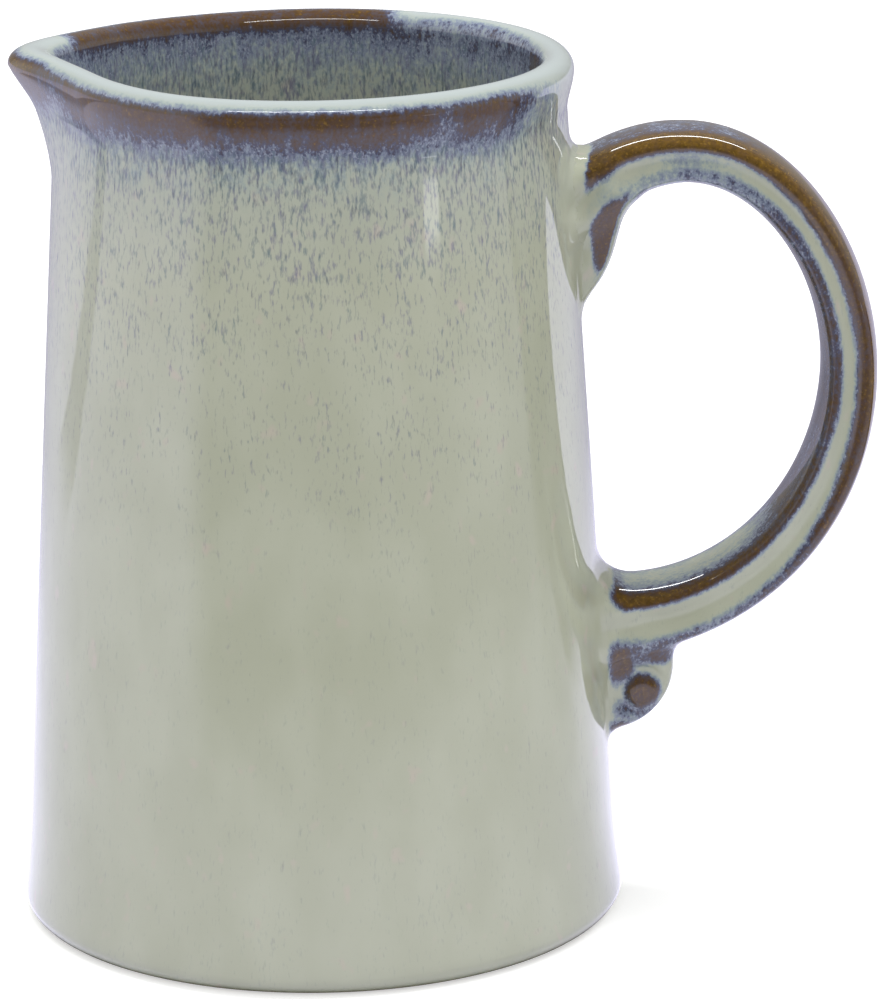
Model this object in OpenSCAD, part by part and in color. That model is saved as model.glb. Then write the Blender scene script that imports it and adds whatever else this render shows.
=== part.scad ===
// Cream jug in glazed stoneware, with a pulled spout, a grooved strap handle and a rolled scroll.
// Millimetres, Z up. The origin is the middle of the foot ring on the resting plane.
// The handle stands out along +X and the spout points along -X.

/* [Body] */
// Height from the resting plane to the top of the lip
height = 110; // [100:1:125]
// Outside diameter of the foot at its widest
base_d = 77; // [72:0.5:84]
// Outside diameter of the wall just under the lip
neck_d = 63.7; // [58:0.1:68]
// Thickness of the side wall
wall_t = 3.6; // [2.8:0.1:4.6]
// Thickness of the floor above the underside recess
floor_t = 5.5; // [4:0.1:8]
// Radius of the bend between the floor and the inside wall
floor_round = 8; // [4:0.5:14]

/* [Foot] */
// Radius of the rounded outer edge of the foot
foot_round = 2.4; // [1.5:0.1:4]
// How far the foot edge stands outside the straight side of the body
foot_swell = 0.44; // [0:0.02:1]
// Height at which the swell of the foot has run out
swell_h = 14; // [10:0.5:18]
// Width of the bare ring that the jug rests on
foot_ring_w = 5; // [3:0.5:9]
// Depth of the recess inside the foot ring
foot_recess = 1.5; // [0.8:0.1:2.5]

/* [Lip] */
// Thickness of the rounded lip
lip_t = 4.3; // [3.6:0.1:5.2]
// How far the lip stands outside the neck
lip_bulge = 0.85; // [0.4:0.05:1.4]
// Height from the neck to the top of the lip
lip_h = 7; // [6:0.5:9]

/* [Spout] */
// How far the tip of the spout stands past the lip
spout_reach = 4.7; // [2:0.1:7]
// How far the channel of the spout is pulled past the inside of the lip
spout_pull = 3; // [1:0.1:4.5]
// How far the tip of the spout rises above the lip
spout_rise = 1.3; // [0:0.1:3]
// Height of the flared part of the spout
spout_h = 15; // [10:0.5:17]
// Half the angle of the rim taken up by the spout, in degrees
spout_half = 32; // [22:1:45]
// Half the angle of the rim taken up by the rounded tip of the spout, in degrees
spout_tip = 7; // [3:0.5:10]

/* [Strap handle] */
// Width of the strap across the jug
strap_w = 13; // [10:0.5:17]
// Thickness of the strap where it leaves the wall under the lip
root_t = 8.2; // [7:0.1:9.5]
// Thickness of the strap at the top of the loop
crest_t = 6.7; // [5.5:0.1:8]
// Thickness of the strap at the outermost point of the loop
belly_t = 7; // [5.5:0.1:8]
// Thickness of the strap where it comes back to the wall
tail_t = 8.2; // [6:0.1:9]
// How much the strap swells on its inner side as it meets the wall at the lower root
tail_swell = 2.8; // [0:0.1:4]
// Depth of the groove along each side of the strap
groove_d = 1; // [0:0.1:1.6]
// Drop from the top of the lip to the middle of the upper root
root_drop = 18; // [17:0.5:22]
// Angle above level at which the strap leaves the wall, in degrees
root_angle = 40; // [30:1:45]
// Drop from the top of the lip to the middle of the strap at the top of the loop
crest_drop = 12.9; // [10:0.1:15]
// Distance from the wall to the top of the loop
crest_out = 14.1; // [12:0.1:18]
// Distance from the wall to the middle of the strap at its outermost point
belly_out = 33.2; // [28:0.1:40]
// Height of the outermost point of the loop
belly_z = 69.5; // [64:0.5:74]
// Height of the middle of the lower root on the wall
tail_z = 36; // [34:0.1:42]
// Angle above level at which the lower root leaves the wall, in degrees
tail_angle = 2; // [0:1:10]

/* [Spur under the upper root] */
// How far the tip of the spur lies below the middle of the upper root
spur_len = 12.5; // [10:0.5:16]
// How far the spur stands off the wall
spur_out = 5.2; // [4.2:0.1:6.5]
// Thickness of the spur at its top
spur_t = 5.4; // [4.5:0.1:6.5]
// How far each side of the spur is set in from the bottom of the strap's groove
spur_step = 0.2; // [0.1:0.1:1]
// How much the spur narrows toward its tip
spur_taper = 5; // [3:0.5:6]

/* [Scroll under the lower root] */
// Radius of the rolled scroll about its middle on the wall
scroll_r = 8.7; // [7.5:0.1:9.5]
// Radius of the scroll's rounded side edges
scroll_edge = 2; // [1:0.1:3]
// How far each side of the scroll is set in from the bottom of the strap's groove
scroll_step = 0.2; // [0.1:0.1:1]
// Drop from the middle of the lower root to the middle of the scroll
scroll_drop = 4.4; // [4:0.1:5.5]
// Distance from the middle of the scroll out to its eye
eye_out = 4.7; // [4.2:0.1:5]
// Drop from the middle of the scroll down to its eye
eye_drop = 3.3; // [3:0.1:3.8]
// Radius of the ring groove around the eye of the scroll
eye_r = 2.6; // [2:0.1:2.8]
// Depth of the ring groove around the eye of the scroll
eye_d = 0.9; // [0.3:0.1:1.2]

/* [Slip joints] */
// Thickness of the layer of slip between a root and the wall
slip_t = 0.8; // [0.4:0.1:1.2]
// Radius of the fillet wiped around the upper root
upper_fillet = 2.8; // [2:0.1:3.4]
// Radius of the fillet wiped around the lower root
lower_fillet = 4; // [2.5:0.1:4.6]
// Thickness of the slip at its outer edge
slip_edge = 0.25; // [0.15:0.05:0.5]

/* [Hidden] */
$fn = 144;
base_r = base_d / 2;
neck_r = neck_d / 2;
neck_z = height - lip_h;
floor_z = foot_recess + floor_t;
lip_r = lip_t / 2;
lip_mid_r = neck_r + lip_bulge - lip_r;
lip_mid_z = height - lip_r;
split_gap = 3;
split_z = height - spout_h - split_gap;
root_z = height - root_drop;
crest_z = height - crest_drop;
half_turn = 36;
around = 32;

// Radius of the straight outer side of the body at height z
function side_r(z) =
    base_r - foot_swell + (neck_r - base_r + foot_swell) * (z - foot_round) / (neck_z - foot_round);
// Radius of the outer side with the swell of the foot
function outer_r(z) =
    side_r(z) + (z < swell_h ? foot_swell * pow((swell_h - z) / (swell_h - foot_round), 2) : 0);
// Radius of the inside of the wall at height z
function inner_r(z) = side_r(z) - wall_t;
function blend(t) = t <= 0 ? 0 : t >= 1 ? 1 : t * t * (3 - 2 * t);
function mix(a, b, t) = a + (b - a) * t;
function power(v, p) = sign(v) * pow(abs(v), p);
function bezier(a, b, c, d, t) =
    pow(1 - t, 3) * a + 3 * pow(1 - t, 2) * t * b + 3 * (1 - t) * t * t * c + pow(t, 3) * d;
function bezier_way(a, b, c, d, t) =
    pow(1 - t, 2) * (b - a) + 2 * (1 - t) * t * (c - b) + t * t * (d - c);

// Profile of the lower body, from the middle of the underside round to the middle of the floor
ring_out = base_r - foot_round;
ring_in = ring_out - foot_ring_w;
corner_z = floor_z + floor_round;
corner_r = inner_r(corner_z) - floor_round;
low_profile = concat(
    [[0, foot_recess], [ring_in - foot_recess, foot_recess], [ring_in, 0], [ring_out, 0]],
    [for (a = [-75:15:0]) [ring_out + foot_round * cos(a), foot_round + foot_round * sin(a)]],
    [for (i = [1:6]) let (z = mix(foot_round, swell_h, i / 6)) [outer_r(z), z]],
    [[side_r(split_z), split_z], [inner_r(split_z), split_z]],
    [for (a = [0:-15:-90]) [corner_r + floor_round * cos(a), corner_z + floor_round * sin(a)]],
    [[0, floor_z]]
);

// Profile of the upper wall and lip: [radius, height, share of the outer pull]
flare_z = height - spout_h;
function flare(z) = z <= flare_z ? 0 : pow(min(1, (z - flare_z) / (lip_mid_z - flare_z)), 1.5);
function lip_share(z) = blend((z - neck_z) / (lip_mid_z - neck_z));
up_outer = [
    for (i = [0:9])
        let (z = mix(split_z, lip_mid_z, i / 10))
        [side_r(min(z, neck_z)) + lip_bulge * lip_share(z), z, 1]
];
up_lip = [
    for (a = [0:20:180])
        [lip_mid_r + lip_r * cos(a), lip_mid_z + lip_r * sin(a), (1 + cos(a)) / 2]
];
up_inner = [
    for (i = [9:-1:0])
        let (z = mix(split_z, lip_mid_z, i / 10))
        [mix(inner_r(min(z, neck_z)), lip_mid_r - lip_r, lip_share(z)), z, 0]
];
up_profile = concat(up_outer, up_lip, up_inner);
// The spout half stands a hair proud of the lower body where they meet, so its flats clear the round edge
spout_seat = 0.1;
up_last = len(up_profile) - 1;
spout_profile = concat(
    [up_profile[0] + [spout_seat, 0, 0]],
    [for (i = [1:up_last - 1]) up_profile[i]],
    [up_profile[up_last] - [spout_seat, 0, 0]]
);

// Share of the spout's reach at an angle away from its middle line
function beak(a) =
    let (b = max(0, spout_half - sqrt(a * a + pow(spout_tip, 2))))
    (1 / cos(b) - 1) / (1 / cos(spout_half - spout_tip) - 1);
function spout_point(p, a) =
    let (
        s = beak(a) * flare(p[1]),
        r = p[0] + s * mix(spout_pull, spout_reach, p[2])
    )
    [-r * cos(a), -r * sin(a), p[1] + spout_rise * pow(cos(a), 4) * flare(p[1])];

// Faces of a solid skinned over rings of n points, an even number, with each end closed by cross strips
function skin_faces(m, n) = concat(
    [for (i = [0:m - 2], j = [0:n - 1]) [i * n + j, i * n + (j + 1) % n, (i + 1) * n + j]],
    [for (i = [0:m - 2], j = [0:n - 1])
        [i * n + (j + 1) % n, (i + 1) * n + (j + 1) % n, (i + 1) * n + j]],
    [for (k = [0:n / 2 - 2]) [n - 1 - k, n - 2 - k, k + 1, k]],
    [for (k = [0:n / 2 - 2]) [for (j = [k, k + 1, n - 2 - k, n - 1 - k]) (m - 1) * n + j]]
);
module skin(rings) {
    polyhedron(
        points = [for (r = rings) for (p = r) p],
        faces = skin_faces(len(rings), len(rings[0])),
        convexity = 6
    );
}

// One ring of a strap: middle [x, z], way [x, z], thickness, width and groove depth
side_share = 0.515;
groove_spread = 0.36;
function strap_ring(c, way, t, w, g) =
    let (d = way / norm(way), out = [-d[1], d[0]])
    [
        for (j = [0:around - 1])
            let (
                a = 360 * j / around,
                x = power(cos(a), 0.75),
                u = x * t / 2,
                v = side_share * w * sqrt(max(0, 1 - pow(x, 6))) - g * exp(-pow(x / groove_spread, 2))
            )
            [c[0] + u * out[0], j % (around / 2) == 0 ? 0 : v * sign(sin(a)), c[1] + u * out[1]]
    ];

// Middle line of the strap: wall to crest, crest to belly, belly to wall
root_way = [cos(root_angle), sin(root_angle)];
tail_way = [cos(tail_angle), sin(tail_angle)];
root_sunk = 4.6;
tail_sunk = 3.2;
root_at = [side_r(root_z), root_z] - root_sunk * root_way;
crest_at = [side_r(crest_z) + crest_out, crest_z];
belly_at = [side_r(belly_z) + belly_out, belly_z];
tail_at = [side_r(tail_z), tail_z] - tail_sunk * tail_way;
rise_pull = 0.658;
crest_pull = 0.36;
top_pull = 0.53;
belly_pull = 0.47;
tail_pull = 0.715;
rise_a = root_at + rise_pull * crest_out * root_way;
rise_b = crest_at - [crest_pull * crest_out, 0];
top_a = crest_at + [top_pull * (belly_at[0] - crest_at[0]), 0];
top_b = belly_at + [0, top_pull * (crest_z - belly_z)];
low_a = belly_at - [0, belly_pull * (belly_z - tail_z)];
low_b = tail_at + tail_pull * belly_out * tail_way;
function rise_ring(t) = strap_ring(
    bezier(root_at, rise_a, rise_b, crest_at, t),
    bezier_way(root_at, rise_a, rise_b, crest_at, t),
    mix(root_t, crest_t, t), strap_w, groove_d
);
function top_ring(t) = strap_ring(
    bezier(crest_at, top_a, top_b, belly_at, t),
    bezier_way(crest_at, top_a, top_b, belly_at, t),
    mix(crest_t, belly_t, t), strap_w, groove_d
);
function low_ring(t) =
    let (
        way = bezier_way(belly_at, low_a, low_b, tail_at, t),
        swell = tail_swell * pow(t, 8)
    )
    strap_ring(
        bezier(belly_at, low_a, low_b, tail_at, t) + swell / 2 * [way[1], -way[0]] / norm(way),
        way, mix(belly_t, tail_t, t) + swell, strap_w, groove_d
    );
rise_rings = [for (i = [0:9]) rise_ring(i / 10)];
top_rings = [for (i = [0:13]) top_ring(i / 14)];
low_rings = [for (i = [0:18]) low_ring(i / 18)];

// Half the width of the strap at the bottom of its grooves
groove_half = side_share * strap_w - groove_d;

// Middle line of the spur, from inside the strap down to the wall
spur_w = 2 * (groove_half - spur_step);
spur_tip_w = spur_w - spur_taper;
spur_tip_share = 0.55;
spur_sunk = 0.9;
spur_z = root_z - spur_len;
spur_mid = spur_out - spur_t / 2;
spur_lean = 2.6;
spur_rise = 1.5;
spur_neck = 0.2;
spur_belly = 1;
spur_top_pull = 0.25;
spur_tip_pull = 0.35;
spur_a = [side_r(root_z) + spur_mid + spur_lean, root_z + spur_rise];
spur_b = [side_r(root_z) + spur_mid + spur_neck, root_z - spur_top_pull * spur_len];
spur_c = [side_r(spur_z) + spur_mid + spur_belly, spur_z + spur_tip_pull * spur_len];
spur_d = [side_r(spur_z) - spur_sunk, spur_z];
spur_rings = [
    for (i = [0:9])
        let (t = i / 9)
        strap_ring(
            bezier(spur_a, spur_b, spur_c, spur_d, t),
            bezier_way(spur_a, spur_b, spur_c, spur_d, t),
            mix(spur_t, spur_tip_share * spur_t, t), mix(spur_w, spur_tip_w, t), 0
        )
];

// Half of the scroll's side profile, from its middle out to its rim
scroll_z = tail_z - scroll_drop;
scroll_x = side_r(scroll_z);
scroll_half = groove_half - scroll_step;
scroll_rim = [
    for (a = [90:-15:0])
        [scroll_r - scroll_edge + scroll_edge * cos(a), scroll_half - scroll_edge + scroll_edge * sin(a)]
];
scroll_profile = concat(
    [[0, scroll_half]],
    scroll_rim,
    [for (i = [len(scroll_rim) - 1:-1:0]) [scroll_rim[i][0], -scroll_rim[i][1]]],
    [[0, -scroll_half]]
);
eye_groove = 0.9;
eye_clear = 0.1;

// Rings of a fillet of slip: an oval on the wall from z_low to z_high, shrinking as it stands off the wall
slip_sunk = 1.5;
function slip_ring(z_low, z_high, half_w, low, high, grow, off) = [
    for (j = [0:around - 1])
        let (
            a = 360 * j / around,
            y = (half_w + grow) * power(cos(a), 0.8),
            half_h = (z_high - z_low) / 2 + grow * (j < around / 2 ? high : low),
            z = (z_low + z_high) / 2 + half_h * power(sin(a), 0.8)
        )
        [sqrt(pow(side_r(z), 2) - y * y) + off, y, z]
];
function slip_rings(z_low, z_high, half_w, low, high, fillet) = concat(
    [slip_ring(z_low, z_high, half_w, low, high, fillet, -slip_sunk)],
    [
        for (a = [0:15:90])
            slip_ring(
                z_low, z_high, half_w, low, high,
                fillet * (1 - sin(a)), slip_edge + fillet * (1 - cos(a))
            )
    ]
);

// Heights on the wall between which each joint wraps its roots
spur_bare = 0.24;
root_wrap = 0.68;
scroll_wrap = 0.95;
upper_low = spur_z + spur_bare * spur_len;
upper_high = root_z + root_wrap * root_t;
lower_low = scroll_z - scroll_wrap * scroll_r;
lower_high = tail_z + tail_t / 2 + tail_swell;
// Share of each fillet that reaches on below and above those heights
upper_low_share = 0.8;
upper_high_share = 1.2;
lower_low_share = 0.3;
lower_high_share = 0.8;

// Everything inside the straight outer side of the body, grown outward by a layer
module inside_wall(layer) {
    cylinder(h = height, r1 = side_r(0) + layer, r2 = side_r(height) + layer);
}

module body() {
    color("#b3b69d")
    union() {
        rotate_extrude() polygon(low_profile);
        rotate([0, 0, -90])
            rotate_extrude(angle = 180)
                polygon([for (p = up_profile) [p[0], p[1]]]);
        skin([for (i = [0:half_turn]) [for (p = spout_profile) spout_point(p, 180 * i / half_turn - 90)]]);
    }
}

module handle_strap() {
    color("#7a5a22")
    difference() {
        skin(concat(rise_rings, top_rings, low_rings));
        inside_wall(slip_t);
    }
}

module strap_root() {
    skin([for (i = [0:9]) rise_rings[i]]);
}

module strap_tail() {
    skin([for (i = [8:18]) low_rings[i]]);
}

module handle_spur() {
    color("#70522a")
    difference() {
        skin(spur_rings);
        inside_wall(slip_t);
        strap_root();
    }
}

module scroll_roll() {
    translate([scroll_x, 0, scroll_z]) rotate([90, 0, 0]) rotate_extrude() polygon(scroll_profile);
}

// The ring groove around the eye, on the side of the scroll that faces along -Y
module eye_ring() {
    translate([scroll_x + eye_out, -scroll_half, scroll_z - eye_drop])
        rotate([90, 0, 0])
            rotate_extrude()
                polygon([[eye_r - eye_groove, eye_clear], [eye_r, -eye_d], [eye_r + eye_groove, eye_clear]]);
}

module handle_scroll() {
    color("#6e4f24")
    difference() {
        scroll_roll();
        inside_wall(slip_t);
        strap_tail();
        eye_ring();
        mirror([0, 1, 0]) eye_ring();
    }
}

module upper_slip_joint() {
    color("#a9ac9a")
    difference() {
        skin(slip_rings(upper_low, upper_high, strap_w / 2, upper_low_share, upper_high_share, upper_fillet));
        inside_wall(0);
        difference() {
            union() {
                strap_root();
                skin(spur_rings);
            }
            inside_wall(slip_t);
        }
    }
}

module lower_slip_joint() {
    color("#a9ac9a")
    difference() {
        skin(slip_rings(lower_low, lower_high, strap_w / 2, lower_low_share, lower_high_share, lower_fillet));
        inside_wall(0);
        difference() {
            union() {
                strap_tail();
                scroll_roll();
            }
            inside_wall(slip_t);
        }
    }
}

body();
handle_strap();
handle_spur();
handle_scroll();
upper_slip_joint();
lower_slip_joint();
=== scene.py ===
from math import atan2, copysign, cos, degrees, exp, hypot, pi, radians, sin, sqrt

import bmesh
import bpy
from bpy.props import FloatProperty, FloatVectorProperty, PointerProperty
from mathutils import Matrix, Vector
from mathutils.bvhtree import BVHTree
from mathutils.kdtree import KDTree


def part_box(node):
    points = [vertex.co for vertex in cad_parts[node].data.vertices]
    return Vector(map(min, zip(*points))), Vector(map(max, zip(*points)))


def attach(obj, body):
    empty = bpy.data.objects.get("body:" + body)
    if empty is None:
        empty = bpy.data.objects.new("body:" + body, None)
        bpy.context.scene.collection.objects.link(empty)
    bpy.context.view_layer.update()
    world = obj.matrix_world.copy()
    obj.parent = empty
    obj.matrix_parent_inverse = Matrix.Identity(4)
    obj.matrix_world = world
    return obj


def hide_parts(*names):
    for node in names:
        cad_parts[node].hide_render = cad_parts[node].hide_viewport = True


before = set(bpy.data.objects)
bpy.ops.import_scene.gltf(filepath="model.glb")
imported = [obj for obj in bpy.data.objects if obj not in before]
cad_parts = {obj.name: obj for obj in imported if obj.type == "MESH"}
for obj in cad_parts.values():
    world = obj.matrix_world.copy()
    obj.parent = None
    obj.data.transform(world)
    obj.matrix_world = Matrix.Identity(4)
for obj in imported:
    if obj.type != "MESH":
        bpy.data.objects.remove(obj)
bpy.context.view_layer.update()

bl_info = {
    "name": "Stoneware cream jug",
    "version": (1, 0, 0),
    "blender": (4, 5, 0),
    "location": "3D View > Sidebar > Cream jug",
    "description": "Models a cream jug in glazed stoneware around its packed solids",
    "category": "Object",
}

MM = 0.001
BODY_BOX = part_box("body")
PIECES = ("body_glazed", "handle_strap_glazed", "handle_spur_glazed", "handle_scroll_glazed")


# Properties

def length(label, note, millimetres):
    """A length in the panel, given in millimetres"""
    return FloatProperty(name=label, description=note, default=millimetres * MM, unit="LENGTH", precision=5)


def angle(label, note, value):
    """An angle in the panel, given in degrees"""
    return FloatProperty(name=label, description=note, default=radians(value), unit="ROTATION")


def linear(code):
    """Linear colour of an sRGB hex value"""
    parts = [int(code[i:i + 2], 16) / 255 for i in (1, 3, 5)]
    return tuple(v / 12.92 if v <= 0.04045 else ((v + 0.055) / 1.055) ** 2.4 for v in parts)


def colour(label, note, code):
    """A colour in the panel, given as an sRGB hex value"""
    return FloatVectorProperty(
        name=label, description=note, default=linear(code), subtype="COLOR", size=3, min=0, max=1
    )


class JugBodySizes(bpy.types.PropertyGroup):
    """Sizes of the thrown body, its foot, lip and spout"""
    height: length("Height", "From the resting plane to the top of the lip", 110)
    base_r: length("Base radius", "Outside radius of the foot", BODY_BOX[1].x / MM)
    neck_r: length("Neck radius", "Outside radius just under the lip", 31.85)
    wall_t: length("Wall", "Thickness of the side wall", 3.6)
    floor_t: length("Floor", "Thickness of the floor", 5.5)
    floor_round: length("Floor bend", "Radius between the floor and the inside wall", 8)
    foot_round: length("Foot edge", "Radius of the rounded outer edge of the foot", 2.4)
    foot_swell: length("Foot swell", "How far the foot stands outside the straight side", 0.44)
    swell_h: length("Swell height", "Height at which the swell of the foot has run out", 14)
    foot_ring_w: length("Foot ring", "Width of the bare ring that the jug rests on", 5)
    foot_recess: length("Foot recess", "Depth of the recess inside the foot ring", 1.5)
    lip_t: length("Lip", "Thickness of the rounded lip", 4.3)
    lip_bulge: length("Lip bulge", "How far the lip stands outside the neck", 0.85)
    lip_h: length("Lip height", "Height from the neck to the top of the lip", 7)
    spout_reach: length("Spout reach", "How far the tip of the spout stands past the lip", 4.7)
    spout_pull: length("Spout pull", "How far the channel is pulled past the inside of the lip", 3)
    spout_rise: length("Spout rise", "How far the tip of the spout rises above the lip", 1.3)
    spout_h: length("Spout height", "Height of the flared part of the spout", 15)
    spout_half: angle("Spout half angle", "Half the angle of the rim that the spout takes", 32)
    spout_tip: angle("Spout tip angle", "Half the angle of the rounded tip of the spout", 7)


class JugHandleSizes(bpy.types.PropertyGroup):
    """Sizes of the strap handle, its spur, its scroll and the joints at its roots"""
    strap_w: length("Strap width", "Width of the strap across the jug", 13)
    root_t: length("Root", "Thickness of the strap at the upper root", 8.2)
    crest_t: length("Crest", "Thickness of the strap at the top of the loop", 6.7)
    belly_t: length("Belly", "Thickness of the strap at its outermost point", 7)
    tail_t: length("Tail", "Thickness of the strap at the lower root", 8.2)
    tail_swell: length("Tail swell", "How much the inner side swells at the lower root", 2.8)
    groove_d: length("Groove", "Depth of the groove along each side of the strap", 1)
    root_drop: length("Root drop", "From the top of the lip to the middle of the upper root", 18)
    root_angle: angle("Root angle", "Angle above level at which the strap leaves the wall", 40)
    crest_drop: length("Crest drop", "From the top of the lip to the middle of the strap's crest", 12.9)
    crest_out: length("Crest distance", "From the wall to the crest", 14.1)
    belly_out: length("Belly distance", "From the wall to the outermost point of the loop", 33.2)
    belly_z: length("Belly height", "Height of the outermost point of the loop", 69.5)
    tail_z: length("Tail height", "Height of the middle of the lower root", 36)
    tail_angle: angle("Tail angle", "Angle above level at which the lower root leaves the wall", 2)
    spur_len: length("Spur", "From the middle of the upper root down to the tip of the spur", 12.5)
    spur_out: length("Spur distance", "How far the spur stands off the wall", 5.2)
    spur_t: length("Spur thickness", "Thickness of the spur at its top", 5.4)
    spur_swell: length("Spur swell", "How far the glazed spur fills out past the strap's grooves", 0.6)
    spur_taper: length("Spur taper", "How much the spur narrows toward its tip", 5)
    scroll_r: length("Scroll", "Radius of the rolled scroll about its middle on the wall", 8.7)
    scroll_edge: length("Scroll edge", "Radius of the scroll's rounded side edges", 2)
    scroll_step: length("Scroll step", "How far the scroll's sides lie inside the strap's grooves", 0.2)
    scroll_drop: length("Scroll drop", "From the middle of the lower root to the scroll's middle", 4.4)
    eye_out: length("Eye distance", "From the scroll's middle out to its eye", 4.7)
    eye_drop: length("Eye drop", "From the scroll's middle down to its eye", 3.3)
    eye_r: length("Eye", "Radius of the ring groove around the eye", 2.7)
    eye_d: length("Eye depth", "Depth of the ring groove around the eye", 0.9)
    upper_fillet: length("Upper fillet", "Reach of the slip wiped around the upper root", 3.4)
    lower_fillet: length("Lower fillet", "Reach of the slip wiped around the lower root", 4.8)
    side_fillet: length("Side fillet", "Reach of the blend between the strap and the scroll", 2.2)
    spur_fillet: length("Spur fillet", "Reach of the blend between the strap and the spur", 2.4)


class JugGlazeColours(bpy.types.PropertyGroup):
    """Colours of the reactive glaze, from thick to thin, and of the bare clay"""
    pale: colour("Thick glaze", "Pale grey-green of the thick glaze", "#A9AC99")
    cream: colour("Cream glaze", "Faint creamy clouds in the thick glaze", "#AFB2A0")
    mist: colour("Misty glaze", "Grey-blue where the glaze begins to thin", "#98A39F")
    lilac: colour("Lilac glaze", "Blue-violet bloom beside the iron", "#747D92")
    slate: colour("Slate glaze", "Dark blue-violet line around the iron", "#46485E")
    dusk: colour("Dusky glaze", "Greyish brown where the iron begins", "#4E4546")
    umber: colour("Thin glaze", "Brown of the iron", "#4E3B2E")
    amber: colour("Iron break", "Amber brown where the glaze runs thinnest", "#634A15")
    mottle: colour("Mottle", "Dark mottling in the amber", "#3A2A0D")
    gold: colour("Gold speck", "Golden specks in the amber", "#8C6C2C")
    bloom: colour("Bloom", "Blue-white bloom of the thick glaze on the lip", "#A1A9A9")
    frost: colour("Frost", "Blue-white crystals over the thin glaze", "#B9BECB")
    blue_fleck: colour("Blue fleck", "Slate-blue flecks in the glaze", "#566B78")
    violet_fleck: colour("Violet fleck", "Violet flecks in the glaze", "#6A6A86")
    blush: colour("Blush", "Faint warm blushes in the thick glaze", "#B4ADA0")
    clay: colour("Bare clay", "Unglazed stoneware of the foot ring", "#B59C80")


class JugStageSettings(bpy.types.PropertyGroup):
    """The plain floor and the camera"""
    floor_r: length("Floor radius", "Radius of the round floor", 4000)
    camera_x: length("Camera across", "Place of the camera along X", 14.755)
    camera_y: length("Camera away", "Place of the camera along Y", -630.224)
    camera_z: length("Camera height", "Height of the camera", 229.139)
    pitch: angle("Camera pitch", "How far the camera looks down", 15.67)
    yaw: angle("Camera yaw", "How far the camera looks toward the handle", 0.092)
    roll: angle("Camera roll", "How far the camera leans", -0.613)
    lens: FloatProperty(
        name="Lens", description="Focal length in millimetres", default=185.97, unit="CAMERA"
    )


# Shape

# Section of the strap: half its width as a share of the size in the panel, the groove's spread as a share
# of half its thickness, how square the section is and how its points crowd toward the sides
SIDE_SHARE = 0.515
GROOVE_SPREAD = 0.36
SQUARENESS = 6
CROWDING = 0.75

# Loop of the strap: how deep its ends start inside the wall, and how far its bends pull, as shares of its
# sizes
ROOT_SUNK = 4.6 * MM
TAIL_SUNK = 3.2 * MM
RISE_PULL = 0.658
CREST_PULL = 0.36
TOP_PULL = 0.53
BELLY_PULL = 0.47
TAIL_PULL = 0.715

# Spur: where its top lies out and up inside the strap, how far out its two bends lie and how far along it
# they pull, how deep its tip goes into the wall and how thick its tip is as a share of its top
SPUR_TOP_OUT = 2.6 * MM
SPUR_TOP_UP = 1.5 * MM
SPUR_NECK_OUT = 0.2 * MM
SPUR_NECK_PULL = 0.25
SPUR_CHIN_OUT = 1 * MM
SPUR_CHIN_PULL = 0.35
SPUR_TIP_SUNK = 0.9 * MM
SPUR_TIP_SHARE = 0.55

# Joints: half their width, how far under the wall's face they begin, and the part of the spur whose slip
# is tight
JOINT_HALF = 14 * MM
WALL_SKIN = 0.3 * MM
TIGHT_PART = 1 / 3


def mix(a, b, t):
    """Value between two others, a at 0 and b at 1"""
    return a + (b - a) * t


def ease(t):
    """Smooth step from 0 to 1"""
    t = min(1, max(0, t))
    return t * t * (3 - 2 * t)


def ramp(value, start, end):
    """Smooth step from 0 at start to 1 at end"""
    return ease((value - start) / (end - start))


def bell(value, middle, spread):
    """Bell curve, 1 at its middle"""
    return exp(-((value - middle) / spread) ** 2)


def spaced(start, end, step):
    """Even values from start up to, but not with, end"""
    count = max(1, round(abs(end - start) / step))
    return [mix(start, end, i / count) for i in range(count)]


def level(value, stops):
    """Level at a value, on straight lines between stops given as place and level"""
    before = stops[0]
    for stop in stops:
        if value < stop[0]:
            share = max(0, value - before[0]) / max(1e-9, stop[0] - before[0])
            return mix(before[1], stop[1], share)
        before = stop
    return before[1]


def bezier(points, t):
    """Point on a curve with two ends and two handles"""
    a, b, c, d = points
    u = 1 - t
    return a * u ** 3 + b * 3 * u * u * t + c * 3 * u * t * t + d * t ** 3


def bezier_way(points, t):
    """Way that such a curve takes at a point"""
    a, b, c, d = points
    u = 1 - t
    return ((b - a) * u * u + (c - b) * 2 * u * t + (d - c) * t * t).normalized()


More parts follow.
